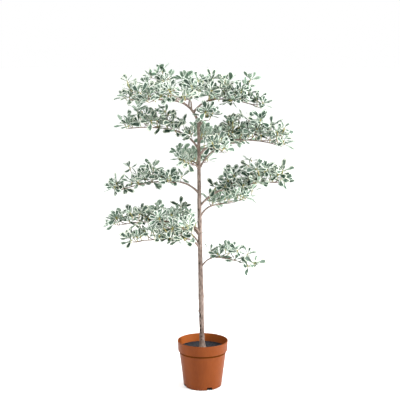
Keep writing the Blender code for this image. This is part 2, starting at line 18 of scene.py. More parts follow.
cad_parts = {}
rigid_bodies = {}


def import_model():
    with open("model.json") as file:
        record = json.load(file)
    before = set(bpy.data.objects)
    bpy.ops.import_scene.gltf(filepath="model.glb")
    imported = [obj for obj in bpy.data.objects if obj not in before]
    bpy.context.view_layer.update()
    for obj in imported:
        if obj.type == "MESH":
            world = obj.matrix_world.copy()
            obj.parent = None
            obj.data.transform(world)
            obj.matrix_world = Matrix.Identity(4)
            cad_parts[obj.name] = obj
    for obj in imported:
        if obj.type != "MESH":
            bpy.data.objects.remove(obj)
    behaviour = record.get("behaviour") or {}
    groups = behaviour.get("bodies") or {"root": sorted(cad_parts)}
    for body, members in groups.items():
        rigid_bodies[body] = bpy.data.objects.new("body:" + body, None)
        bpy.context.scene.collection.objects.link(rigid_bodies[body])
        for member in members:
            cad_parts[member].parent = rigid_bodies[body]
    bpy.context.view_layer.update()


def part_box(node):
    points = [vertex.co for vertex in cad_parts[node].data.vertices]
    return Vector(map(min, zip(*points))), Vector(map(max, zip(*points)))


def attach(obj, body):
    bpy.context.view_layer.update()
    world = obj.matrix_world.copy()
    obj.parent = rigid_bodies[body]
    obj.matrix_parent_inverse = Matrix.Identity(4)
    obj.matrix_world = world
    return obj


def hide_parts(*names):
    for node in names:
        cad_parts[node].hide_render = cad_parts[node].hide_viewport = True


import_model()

UP = Vector((0, 0, 1))

# ---- the plant's rule, as in the CAD part

SOIL_LEVEL = 0.195
TRUNK_TOP = 1.3265
TRUNK_FOOT_RADIUS = 0.0118
TRUNK_TOP_RADIUS = 0.0058
FLARE_RADIUS = 0.0085
FLARE_HEIGHT = 0.014  # quicker than the CAD part's, as the roots spread in ridges
SWELLING = 0.0016
SWELLING_LEVEL = 0.45
SWELLING_SPREAD = 0.06
LEAN = -0.020
LEAN_START = -0.002
LEAN_POWER = 1.6
SWAY = 0.006
SWAY_TURNS = 1.1
STUB_LEVEL = 1.305
STUB_LENGTH = 0.034
STUB_RADIUS = 0.0034
STUB_TAPER = 0.85
STUB_TILT = 55.0
STUB_HEADING = 5.0
GAP = 0.0003

LIMB_STEP = 0.030
STEP_GROWTH = 1.25
LIMB_TIP_RADIUS = 0.0017
LIMB_WAVE = 0.004
WAVE_TURNS = 1.5
TAPER_POWER = 0.75

TWIG_SPACING = 0.058
FEWEST_TWIGS = 3
FIRST_TWIG = 0.35
TWIG_JITTER = 0.12
TWIG_RADIUS = 0.0022
TWIG_ANGLE_FOOT = 64.0
TWIG_ANGLE_TIP = 36.0
TWIG_CURVE = 0.12
TWIG_LENGTHS = (0.55, 0.8, 1.0)
TWIG_RISES = (0.1, 0.8, 0.3, 1.0, 0.0, 0.55)
RISE_SPREAD = 0.15
TWIG_TRIES = (1.0, 0.7, 0.45)
WIDEST_SHARE = 0.42
WIDTH_RANGE = 0.72
LEAST_WIDTH = 0.32
SPUR_HEIGHT = 0.018
SPUR_LEAN = 0.35

LIMB_CLEARANCE = 0.0025
STEM_CLEARANCE = 0.010
SPACE_MARGIN = 0.0025
SAMPLE_SPACING = 0.008
SPACE_LIFT = 0.030

GOLDEN_TURN = math.radians(137.5)

Bough = namedtuple(
    "Bough",
    "name parent start heading reach rise knee droop bend radius bare spread height seed",
)

# start is the height on the trunk, or the distance out along the leader. A bough rises to about rise, most of
# it within its first knee or two, then sinks by droop at its tip, bend is how far that tip swings to the left
# of the heading, and radius is the limb's at its foot. bare is the share of its reach without leaves, spread
# the half-width of its foliage, height how far the highest rosettes stand over it, and seed deals its twigs.
BOUGH_TABLE = (
    ("low_right", "trunk", 0.6, 348, 0.235, 0.075, 0.035, 0.048, 0.012, 0.0036, 0.2, 0.06, 0.04, 5),
    ("low_left", "trunk", 0.7, 205, 0.33, 0.068, 0.035, 0.004, -0.02, 0.0046, 0.14, 0.105, 0.05, 5),
    ("low_back", "trunk", 0.715, 124, 0.31, 0.06, 0.045, 0.02, 0.02, 0.0042, 0.2, 0.09, 0.03, 16),
    ("middle_low_left", "trunk", 0.768, 174, 0.395, 0.08, 0.055, 0.03, 0.01, 0.0048, 0.18, 0.085, 0.025, 3),
    ("middle_front", "trunk", 0.775, 244, 0.28, 0.065, 0.045, 0.01, -0.02, 0.0042, 0.2, 0.09, 0.045, 11),
    ("middle_right", "trunk", 0.915, 343, 0.405, 0.14, 0.11, 0.004, 0.02, 0.0052, 0.16, 0.105, 0.06, 23),
    ("middle_back_right", "trunk", 0.855, 40, 0.3, 0.062, 0.035, 0.0, 0.015, 0.0042, 0.16, 0.095, 0.03, 7),
    ("middle_back_left", "trunk", 0.78, 140, 0.32, 0.055, 0.05, 0.012, -0.01, 0.0042, 0.22, 0.09, 0.02, 24),
    ("upper_left", "trunk", 0.98, 184, 0.385, 0.085, 0.07, 0.065, -0.012, 0.0048, 0.2, 0.085, 0.05, 5),
    ("upper_front", "trunk", 1.1, 240, 0.12, 0.045, 0.045, 0.0, 0.01, 0.0034, 0.24, 0.06, 0.02, 2),
    ("upper_right", "trunk", 1.17, 346, 0.395, 0.112, 0.105, 0.05, -0.015, 0.0052, 0.16, 0.105, 0.075, 11),
    ("upper_back_right", "trunk", 1.1, 42, 0.31, 0.12, 0.08, 0.0, 0.01, 0.0042, 0.22, 0.095, 0.035, 22),
    ("upper_back", "trunk", 1.07, 98, 0.3, 0.055, 0.045, 0.015, 0.01, 0.004, 0.24, 0.08, 0.03, 6),
    ("high_left", "trunk", 1.2, 176, 0.34, 0.118, 0.075, 0.018, -0.01, 0.0046, 0.12, 0.085, 0.055, 23),
    ("high_front_right", "trunk", 1.16, 290, 0.26, 0.07, 0.06, 0.01, 0.015, 0.0038, 0.22, 0.08, 0.035, 8),
    ("high_back", "trunk", 1.195, 84, 0.31, 0.06, 0.055, 0.03, -0.015, 0.0038, 0.24, 0.08, 0.03, 15),
    ("leader", "top", 0.0, 189, 0.335, 0.12, 0.045, 0.004, 0.01, 0.0056, 0.26, 0.085, 0.045, 4),
    ("crown_left", "leader", 0.07, 148, 0.15, 0.16, 0.12, 0.0, -0.01, 0.0036, 0.46, 0.07, 0.035, 23),
    ("crown_back", "leader", 0.05, 82, 0.29, 0.09, 0.08, 0.03, 0.015, 0.0036, 0.2, 0.09, 0.045, 15),
    ("crown_right", "leader", 0.026, 3, 0.315, 0.085, 0.06, 0.06, 0.01, 0.0042, 0.14, 0.1, 0.08, 1),
    ("crown_front", "leader", 0.036, 268, 0.24, 0.07, 0.05, 0.01, -0.015, 0.0036, 0.2, 0.09, 0.055, 21),
    ("crown_front_left", "leader", 0.064, 226, 0.24, 0.045, 0.05, 0.02, 0.012, 0.0032, 0.22, 0.08, 0.035, 18),
    ("fork_front", "trunk", 1.29, 300, 0.06, 0.08, 0.025, 0.0, 0.005, 0.0028, 0.36, 0.03, 0.006, 17),
)
BOUGHS = [Bough(*row) for row in BOUGH_TABLE]


def level(angle):
    """The level direction at an angle round Z."""
    return Vector((math.cos(angle), math.sin(angle), 0))


def left_of(direction):
    return Vector((-direction.y, direction.x, 0))


def trunk_axis(height):
    """The trunk's centre line: it leans left and sways a little from front to back."""
    share = (height - SOIL_LEVEL) / (TRUNK_TOP - SOIL_LEVEL)
    left = LEAN_START + (LEAN - LEAN_START) * (1 - max(0.0, 1 - share) ** LEAN_POWER)
    return Vector((left, SWAY * math.sin(math.tau * SWAY_TURNS * share) * share, height))


def trunk_radius(height):
    share = (height - SOIL_LEVEL) / (TRUNK_TOP - SOIL_LEVEL)
    radius = TRUNK_FOOT_RADIUS + (TRUNK_TOP_RADIUS - TRUNK_FOOT_RADIUS) * share**2
    flare = FLARE_RADIUS * math.exp(-(height - SOIL_LEVEL) / FLARE_HEIGHT)
    swelling = SWELLING * math.exp(-(((height - SWELLING_LEVEL) / SWELLING_SPREAD) ** 2))
    return radius + flare + swelling


def limb_foot(bough):
    """Where the limb's centre line starts, on its parent's."""
    if bough.parent == "trunk":
        return trunk_axis(bough.start)
    if bough.parent == "top":
        return trunk_axis(TRUNK_TOP) + UP * GAP
    return limb_point(next(other for other in BOUGHS if other.name == bough.parent), bough.start)


def limb_point(bough, out):
    """The limb's centre line at a level distance out from its foot."""
    share = out / bough.reach
    wave = LIMB_WAVE * math.sin(math.tau * WAVE_TURNS * share) * share
    sideways = bough.bend * share**2 + wave
    lift = bough.rise * (1 - math.exp(-out / bough.knee)) - bough.droop * share**2
    along = level(math.radians(bough.heading))
    return limb_foot(bough) + along * out + left_of(along) * sideways + UP * (lift + wave / 2)


def limb_direction(bough, out):
    step = 0.0005
    return (limb_point(bough, out + step) - limb_point(bough, out - step)).normalized()


def limb_radius(bough, out):
    share = min(1.0, out / bough.reach)
    return LIMB_TIP_RADIUS + (bough.radius - LIMB_TIP_RADIUS) * (1 - share) ** TAPER_POWER


def bare_end(bough):
    return bough.bare * bough.reach


def twig_plan(bough, rng):
    """(distance out, side, length, rise) of each twig: sides by turns, shorter near the stem's ends."""
    start, reach = bare_end(bough), bough.reach
    count = max(FEWEST_TWIGS, round((reach - start) / TWIG_SPACING))
    side = rng.choice((-1, 1))
    plan = []
    for k in range(count):
        share = (k + FIRST_TWIG + rng.uniform(-TWIG_JITTER, TWIG_JITTER)) / count
        width = math.sqrt(max(LEAST_WIDTH**2, 1 - ((share - WIDEST_SHARE) / WIDTH_RANGE) ** 2))
        length = bough.spread * width * rng.choice(TWIG_LENGTHS)
        rise = bough.height * TWIG_RISES[k % len(TWIG_RISES)] * (1 + rng.uniform(-RISE_SPREAD, RISE_SPREAD))
        plan.append((start + (reach - start) * share, side, length, rise))
        side = -side
    return plan


# ---- each mass's own space


def limb_stations(start, end):
    count = max(2, round((end - start) / LIMB_STEP) + 1)
    return [start + (end - start) * (k / count) ** STEP_GROWTH for k in range(count + 1)]


def segments(points, radii):
    """The path's segments as arrays of their starts, their ends and the larger radius of each."""
    line = np.array([tuple(point) for point in points])
    return line[:-1], line[1:], np.maximum(radii[:-1], radii[1:])


def limb_segments(bough, start, end):
    stations = limb_stations(start, end)
    points = [limb_point(bough, out) for out in stations]
    return segments(points, [limb_radius(bough, out) for out in stations])


def clearance(points, lines):
    """How far each point lies from the surface of the nearest segment."""
    starts, ends, radii = lines
    away = points[:, None, :] - starts
    along = ends - starts
    share = np.clip((away * along).sum(2) / (along**2).sum(1), 0, 1)
    return (np.linalg.norm(away - along * share[..., None], axis=2) - radii).min(1)


class Spaces:
    """Which points a mass may use: those nearer its own raised stem than any other, and clear of the wood."""

    def __init__(self):
        self.raised, self.stems = {}, {}
        levels = np.linspace(SOIL_LEVEL, TRUNK_TOP, 24)
        walls = [segments([trunk_axis(z) for z in levels], [trunk_radius(z) for z in levels])]
        lift = np.array(UP * SPACE_LIFT)
        for bough in BOUGHS:
            walls.append(limb_segments(bough, 0.0, bare_end(bough)))
            starts, ends, radii = limb_segments(bough, bare_end(bough), bough.reach)
            self.stems[bough.name] = starts, ends, radii
            self.raised[bough.name] = starts + lift, ends + lift, radii * 0
        self.wood = tuple(np.concatenate(parts) for parts in zip(*walls))

    def free(self, name, points, limb=LIMB_CLEARANCE, stem=STEM_CLEARANCE, margin=SPACE_MARGIN):
        """True if all the points lie in that mass's space."""
        points = np.array([tuple(point) for point in points])
        if clearance(points, self.wood).min() < limb:
            return False
        own = clearance(points, self.raised[name])
        for other in self.stems:
            if other == name:
                continue
            if clearance(points, self.stems[other]).min() < stem:
                return False
            if (clearance(points, self.raised[other]) - own).min() < margin:
                return False
        return True


def points_along(path, start, spacing):
    """Points along a path from a distance start on, about a spacing apart, with its end."""
    found, left = [], start
    for a, b in zip(path, path[1:]):
        length = (b - a).length
        while left < length:
            found.append(a.lerp(b, left / length))
            left += spacing
        left -= length
    return found + [path[-1]]


# ---- meshes


def add_object(name, data):
    obj = bpy.data.objects.new(name, data)
    bpy.context.scene.collection.objects.link(obj)
    return obj


class Batch:
    """Many small forms gathered into one mesh, each face with its own material slot."""

    def __init__(self):
        self.points, self.loops, self.totals, self.slots, self.count = [], [], [], [], 0

    def add(self, points, faces, slots):
        self.points.append(np.array([tuple(point) for point in points], np.float32))
        self.loops.append(np.array([corner + self.count for face in faces for corner in face], np.int32))
        self.totals.append(np.array([len(face) for face in faces], np.int32))
        self.slots.append(np.broadcast_to(np.array(slots, np.int32), (len(faces),)))
        self.count += len(points)

    def triangles(self):
        return sum(int((totals - 2).sum()) for totals in self.totals)

    def build(self, name, materials):
        mesh = bpy.data.meshes.new(name)
        points = np.concatenate(self.points)
        loops, totals = np.concatenate(self.loops), np.concatenate(self.totals)
        mesh.vertices.add(len(points))
        mesh.vertices.foreach_set("co", points.ravel())
        mesh.loops.add(len(loops))
        mesh.loops.foreach_set("vertex_index", loops)
        mesh.polygons.add(len(totals))
        starts = np.concatenate([[0], np.cumsum(totals)[:-1]])
        mesh.polygons.foreach_set("loop_start", starts.astype(np.int32))
        for material in materials:
            mesh.materials.append(material)
        mesh.polygons.foreach_set("material_index", np.concatenate(self.slots))
        mesh.update(calc_edges=True)
        mesh.validate()
        mesh.shade_smooth()
        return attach(add_object(name, mesh), "root")


def taper(foot, tip, count):
    """Evenly spaced values from the foot's to the tip's."""
    return [foot + (tip - foot) * k / (count - 1) for k in range(count)]


def tube_faces(rings, sides):
    """The faces of a closed tube whose rings follow each other, with a fan at each end."""
    faces = []
    foot, last = rings * sides, (rings - 1) * sides
    for low in range(0, last, sides):
        for k in range(sides):
            after, high = (k + 1) % sides, low + sides
            faces.append((low + k, low + after, high + after, high + k))
    for k in range(sides):
        after = (k + 1) % sides
        faces += [(foot, after, k), (foot + 1, last + k, last + after)]
    return faces


def tube_frames(points):
    """The path's points with two directions across it at each, which turn with it and don't twist."""
    directions = [(b - a).normalized() for a, b in zip(points, points[1:])]
    normals = [directions[0]]
    normals += [(a + b).normalized() for a, b in zip(directions, directions[1:])]
    normals.append(directions[-1])
    across = Vector((1, 0, 0)) if abs(normals[0].x) < 0.9 else Vector((0, 1, 0))
    for point, normal in zip(points, normals):
        across = (across - normal * across.dot(normal)).normalized()
        yield point, across, normal.cross(across)


def add_tube(batch, points, radii, sides, relief=None, slots=None):
    """A tube along the points. relief(ring, angle, place) is how far its skin stands out there."""
    grid = []
    for ring, ((point, across, other), radius) in enumerate(zip(tube_frames(points), radii)):
        for k in range(sides):
            angle = math.tau * k / sides
            away = across * math.cos(angle) + other * math.sin(angle)
            place = point + away * radius
            if relief:
                place = place + away * relief(ring, angle, place)
            grid.append(place)
    grid += [points[0], points[-1]]
    faces = tube_faces(len(points), sides)
    batch.add(grid, faces, slots(grid, faces) if slots else 0)


def smooth_path(points, step):
    """A Catmull-Rom curve through the points, cut about a step apart."""
    padded = [points[0] * 2 - points[1], *points, points[-1] * 2 - points[-2]]
    path = []
    for a, b, c, d in zip(padded, padded[1:], padded[2:], padded[3:]):
        count = max(1, round((c - b).length / step))
        for k in range(count):
            t = k / count
            bend = (c - a) * t + (a * 2 - b * 5 + c * 4 - d) * t**2 + (b * 3 - a - c * 3 + d) * t**3
            path.append(b + bend / 2)
    return path + [points[-1]]


# ---- materials

WHITE = (1, 1, 1)


class Look:
    """A Principled material of one plain colour, and the nodes that vary it."""

    def __init__(self, name, colour, roughness, specular):
        self.material = bpy.data.materials.new(name)
        self.material.use_nodes = True
        self.tree = self.material.node_tree
        self.sockets = self.tree.nodes["Principled BSDF"].inputs
        self.sockets["Base Color"].default_value = (*colour, 1.0)
        self.sockets["Roughness"].default_value = roughness
        self.sockets["Specular IOR Level"].default_value = specular

    def node(self, kind, **inputs):
        """A node with inputs set to values or joined to other nodes' outputs."""
        made = self.tree.nodes.new(kind)
        for name, value in inputs.items():
            socket = made.inputs[name.replace("_", " ")]
            if isinstance(value, bpy.types.NodeSocket):
                self.tree.links.new(value, socket)
            else:
                socket.default_value = value
        return made

    def join(self, value, name):
        self.tree.links.new(value, self.sockets[name])

    def noise(self, scale, detail, stretch=WHITE):
        """Noise in the object's own coordinates, drawn out along an axis by a small stretch value there."""
        place = self.node("ShaderNodeTexCoord").outputs["Object"]
        mapping = self.node("ShaderNodeMapping", Vector=place, Scale=stretch)
        return self.node(
            "ShaderNodeTexNoise", Vector=mapping.outputs["Vector"], Scale=scale, Detail=detail
        ).outputs["Fac"]

    def ramp(self, value, *stops):
        """The value as a colour. Each stop is (position, colour)."""
        ramp = self.node("ShaderNodeValToRGB", Fac=value)
        elements = ramp.color_ramp.elements
        while len(elements) < len(stops):
            elements.new(0.5)
        for element, (position, colour) in zip(elements, stops):
            element.position = position
            element.color = (*colour, 1.0)
        return ramp.outputs["Color"]

    def multiply(self, first, second, factor):
        mix = self.node("ShaderNodeMix", Factor=factor)
        mix.data_type = "RGBA"
        mix.blend_type = "MULTIPLY"
        self.tree.links.new(first, mix.inputs[6])
        self.tree.links.new(second, mix.inputs[7])
        return mix.outputs[2]

    def relief(self, height, distance, strength):
        bump = self.node("ShaderNodeBump", Height=height, Distance=distance, Strength=strength)
        self.join(bump.outputs["Normal"], "Normal")

    def roughness(self, value, low, high):
        spread = self.node("ShaderNodeMapRange", Value=value, To_Min=low, To_Max=high)
        self.join(spread.outputs["Result"], "Roughness")

    def height_shade(self):
        """Greyest a little over the roots, and paler higher up."""
        place = self.node("ShaderNodeTexCoord").outputs["Object"]
        height = self.node("ShaderNodeSeparateXYZ", Vector=place).outputs["Z"]
        spread = self.node("ShaderNodeMapRange", Value=height, From_Min=OLD_BARK[0], From_Max=OLD_BARK[1])
        return self.ramp(spread.outputs["Result"], (0.0, ROOT_SHADE), (0.1, OLD_SHADE), (1.0, WHITE))


def bark_material(name, dark, middle, pale, scale=1.0, aged=False):
    """Streaks along the stem, blotches and small dark pores, with a fine grain in relief."""
    look = Look(name, middle, 0.8, 0.15)
    streaks = look.noise(260 * scale, 6, (1, 1, 0.18))
    blotches = look.noise(60 * scale, 5, (1, 1, 0.8))
    pores = look.noise(420 * scale, 2, (1, 1, 0.5))
    base = look.ramp(streaks, (0.3, dark), (0.5, middle), (0.72, pale))
    shaded = look.multiply(base, look.ramp(blotches, (0.3, (0.62, 0.58, 0.56)), (0.55, WHITE)), 0.8)
    if aged:
        shaded = look.multiply(shaded, look.height_shade(), 1.0)
    specks = look.ramp(pores, (0.28, (0.5, 0.45, 0.42)), (0.36, WHITE))
    look.join(look.multiply(shaded, specks, 0.6), "Base Color")
    look.relief(streaks, 0.0008, 0.6)
    look.roughness(blotches, 0.72, 0.92)
    return look.material


def mottled_material(name, colour, finish, grain, relief, *stops):
    """Colours mottled by one noise, which gives the relief as well."""
    look = Look(name, colour, *finish)
    mottle = look.noise(*grain)
    look.join(look.ramp(mottle, *stops), "Base Color")
    look.relief(mottle, *relief)
    return look.material


def spur_material():
    stops = (0.3, (0.17, 0.12, 0.04)), (0.5, (0.34, 0.28, 0.08)), (0.7, (0.50, 0.45, 0.14))
    return mottled_material("spur", (0.30, 0.27, 0.09), (0.6, 0.4), (220, 3), (0.0005, 0.5), *stops)


def compost_material():
    stops = (0.3, (0.006, 0.007, 0.010)), (0.55, (0.020, 0.023, 0.031)), (0.72, (0.055, 0.055, 0.060))
    return mottled_material("compost", (0.015, 0.017, 0.022), (0.9, 0.3), (330, 5), (0.002, 0.8), *stops)


def leaf_material(name, colour, roughness):
    """One plain colour, so that its place on the leaf stays put, with a fine vein relief."""
    look = Look(name, colour, roughness, 0.2)
    look.relief(look.noise(900, 2), 0.0002, 0.25)
    return look.material


def pot_material(name, dark, pale, gloss=0.12):
    """Moulded orange-brown plastic: faint flow streaks, rubbed patches and fine scuffs."""
    look = Look(name, dark, 0.4, gloss)
    flow = look.noise(9, 4, (1, 1, 0.35))
    scuffs = look.noise(140, 6, (1, 1, 0.25))
    dust = look.ramp(scuffs, (0.35, (0.88, 0.86, 0.84)), (0.6, WHITE))
    look.join(look.multiply(look.ramp(flow, (0.3, dark), (0.7, pale)), dust, 0.7), "Base Color")
    look.relief(scuffs, 0.0004, 0.15)
    look.roughness(scuffs, 0.32, 0.5)
    return look.material


# ---- bark

TRUNK_SIDES = 56
TRUNK_STEP = 0.002
BURIED = 0.002  # how far the trunk's bark runs on under the compost
STUB_RINGS = 8
LIMB_SIDES = 14
LIMB_RING = 0.0035
LIMB_RIDGE = 0.16  # a limb's ridges, as a share of its radius
OLD_BARK = (0.20, 0.95)  # the heights between which the bark turns from old and grey to young and pale
ROOT_SHADE, OLD_SHADE = (0.92, 0.92, 0.90), (0.72, 0.71, 0.71)
STEM_GROWTH = 0.016  # how far a stem's fine end runs on past the CAD's, whose leaves are longer
FINE_TIP_RADIUS = 0.0012
COLLAR = 0.55  # how much thicker a limb is where it leaves its parent, as a share
COLLAR_REACH = 0.010
NODE_SPACING = 0.031
NODE_SHIFT = 0.37  # times its seed, so that each bough's nodes stand elsewhere
NODE_WIDTH = 0.09
NODE_SWELLING = 0.16
RIDGE = 0.0008
BARK_DEPTH = 0.0006  # of the ridged bark past the CAD part's smooth surface
# (height, heading, radius, depth): a cut twig's dark hollow, and swollen scars
KNOTS = (
    (0.369, 205, 0.0060, -0.0030), (0.385, 195, 0.0065, 0.0042), (0.462, 350, 0.0090, 0.0020),
    (0.448, 330, 0.0060, -0.0010), (0.532, 170, 0.0080, 0.0012), (0.306, 20, 0.0060, 0.0010),
    (0.250, 300, 0.0050, -0.0012),
)
# (height, heading, radius) of dark blotches and scars on the trunk
DARK_SPOTS = (
    (0.377, 212, 0.0050), (0.371, 218, 0.0068), (0.364, 222, 0.0064), (0.357, 230, 0.0045),
    (0.312, 236, 0.0036), (0.306, 240, 0.0042), (0.290, 234, 0.0046), (0.284, 238, 0.0040),
    (0.274, 246, 0.0034), (0.256, 262, 0.0036), (0.240, 256, 0.0030), (0.335, 228, 0.0030),
    (0.470, 222, 0.0034), (0.565, 300, 0.0030), (0.630, 235, 0.0036), (0.760, 215, 0.0034),
    (0.900, 230, 0.0036), (1.040, 300, 0.0030),
)
SCAR_SPACING = 0.043
SCAR_HEIGHT = 0.0009
SCAR_RADIUS = 0.0045


def trunk_skin(height, heading):
    """A point on the trunk's smooth surface, the heading in degrees."""
    return trunk_axis(height) + level(math.radians(heading)) * trunk_radius(height)


def knot_list():
    """The named knots, and small alternate leaf scars all the way up."""
    rng = random.Random(5)
    knots = list(KNOTS)
    height, heading = SOIL_LEVEL + SCAR_SPACING, 60
    while height < TRUNK_TOP - SCAR_SPACING:
        knots.append((height, heading, SCAR_RADIUS, SCAR_HEIGHT * rng.uniform(0.5, 1.4)))
        height += SCAR_SPACING * rng.uniform(0.5, 1.1)
        heading += 137 + rng.uniform(-25, 25)
    return knots


def root_ridges(place, angle):
    """Three to five low ridges that run out into the root flare."""
    low = math.exp(-(place.z - SOIL_LEVEL) / (FLARE_HEIGHT * 1.3))
    return 0.0022 * low * math.cos(3 * angle + 0.7) + 0.0012 * low * math.cos(5 * angle + 2.1)


def trunk_relief():
    places = [(trunk_skin(height, heading), radius, depth) for height, heading, radius, depth in knot_list()]

    def relief(_ring, angle, place):
        ridges = noise.noise(Vector((math.cos(angle) * 3.1, math.sin(angle) * 3.1, place.z * 14)))
        wide = noise.noise(Vector((math.cos(angle), math.sin(angle), place.z * 22 + 7)))
        found = RIDGE * ridges + RIDGE * 1.4 * wide
        for centre, radius, depth in places:
            if abs(place.z - centre.z) < radius * 2:
                found += depth * math.exp(-(((place - centre).length / radius) ** 2) * 1.6)
        return found + root_ridges(place, angle)

    return relief


def limb_relief(salt, radii):
    def relief(ring, angle, _place):
        ridges = noise.noise(Vector((math.cos(angle) * 2 + salt * 9, math.sin(angle) * 2, ring * 0.10)))
        return radii[ring] * LIMB_RIDGE * ridges

    return relief


def dark_spot_slots(points, faces):
    """Slot 1 for each of the tube's faces that starts in a dark spot, and 0 for the rest."""
    starts = np.array([tuple(points[face[0]]) for face in faces])
    slots = np.zeros(len(faces), np.int32)
    for height, heading, radius in DARK_SPOTS:
        slots[np.linalg.norm(starts - np.array(trunk_skin(height, heading)), axis=1) < radius] = 1
    return slots


def add_trunk(batch):
    foot = SOIL_LEVEL - BURIED
    count = round((TRUNK_TOP - SOIL_LEVEL) / TRUNK_STEP)
    levels = [foot + (TRUNK_TOP - foot) * k / count for k in range(count + 1)]
    radii = [trunk_radius(max(z, SOIL_LEVEL)) + BARK_DEPTH for z in levels]
    add_tube(batch, [trunk_axis(z) for z in levels], radii, TRUNK_SIDES, trunk_relief(), dark_spot_slots)


def add_stub(batch):
    """The cut end of an old leader, beside the fork."""
    tilt = math.radians(STUB_TILT)
    direction = level(math.radians(STUB_HEADING)) * math.cos(tilt) + UP * math.sin(tilt)
    rings = range(STUB_RINGS + 1)
    path = [trunk_axis(STUB_LEVEL) + direction * (STUB_LENGTH * k / STUB_RINGS) for k in rings]
    radii = taper(STUB_RADIUS, STUB_RADIUS * STUB_TAPER, len(rings))
    add_tube(batch, path, radii, LIMB_SIDES, limb_relief(0.2, radii))


def add_limb(batch, bough):
    """The whole limb from inside its parent to its fine tip, swollen at its collar and at each node."""
    end = bough.reach + STEM_GROWTH
    count = round(end / LIMB_RING)
    stations = [end * k / count for k in range(count + 1)]
    radii = []
    for out in stations:
        radius = limb_radius(bough, min(out, bough.reach))
        past = max(0.0, out - bough.reach) / STEM_GROWTH
        radius += (FINE_TIP_RADIUS - radius) * past
        radius *= 1 + COLLAR * math.exp(-out / COLLAR_REACH)
        beat = (out / NODE_SPACING + bough.seed * NODE_SHIFT) % 1.0
        radius *= 1 + NODE_SWELLING * math.exp(-(((beat - 0.5) / NODE_WIDTH) ** 2))
        radii.append(radius)
    points = [limb_point(bough, out) for out in stations]
    add_tube(batch, points, radii, LIMB_SIDES, limb_relief(bough.seed, radii))


# ---- twigs, spurs and leaves

TWIG_SIDES = 7
TWIG_RING = 0.005
TWIG_GROWTH = 0.014  # a twig's fine end past the CAD's, whose leaves are longer
TWIG_TIP_RADIUS = 0.0011
TWIG_COLLAR = 1.4
KINK = 0.0022  # a twig steps from side to side at each of its spurs
SPUR_SPACING = 0.042
SPUR_SIDES = 6
SPUR_RINGS = 6
SPUR_HEIGHTS = (0.012, 0.036)
SPUR_FOOT_RADIUS = 0.0014
SPUR_TOP_RADIUS = 0.0027
SPUR_BANDS = (0.92, 1.12)  # its rings are thin and thick by turns
SPUR_STRAY = 0.38  # how far a spur may lean in any direction, as a share of its height
SPRIG_LENGTHS = (0.008, 0.030)
SPRIG_SHARE = 0.5  # of the spurs on a twig stand on a short sprig of their own
LEAVES = (5, 8)
LEAF_LENGTHS = (0.048, 0.064)
INNER_LEAF = 0.62
LEAF_WIDTH = 0.51
LEAF_ROWS = ((0.0, 0.08), (0.20, 0.17), (0.40, 0.46), (0.60, 0.86), (0.78, 1.0), (0.92, 0.86), (1.0, 0.50))
LEAF_COLUMNS = (-1.0, -0.70, -0.38, 0.0, 0.38, 0.70, 1.0)
UNDER_COLUMNS = (0, 1, 3, 5, 6)
LEAF_THICKNESS = 0.0007
LEAF_GAP = 0.0145
LEAF_STEP = 0.0016
LEAF_MARGINS = (0.0015, 0.0, -0.006)  # from the wood and the other stems, and into a neighbour's space
LEAF_ROLL = 22.0
FULL_BATCH = 130_000  # triangles, past which the next mass starts another piece of leaves
SPLAYS = (16.0, 86.0)
SPLAY_STRAY = 9.0
TRUNK_WINDOW = 0.016  # leaves in front of the trunk stay this far to either side of it
LEAF_ON_TRUNK = (0.765, 0.800)  # the heights between which leaves do cross it
# (spacing, height) of a mass's spurs, as shares of the usual, where it is sparser or deeper than the rest
HABITS = {
    "low_right": (2.4, 0.5), "low_left": (0.8, 1.2), "middle_low_left": (1.0, 1.1),
    "middle_right": (0.95, 1.5), "upper_left": (1.0, 0.9), "upper_front": (1.7, 0.7),
    "upper_right": (0.95, 1.5), "high_left": (1.05, 1.3), "fork_front": (1.4, 0.7),
    "crown_left": (1.0, 1.3), "crown_back": (1.0, 1.35), "crown_right": (1.0, 1.15),
    "crown_front": (1.0, 1.2),
}
USUAL = (1.0, 1.0)
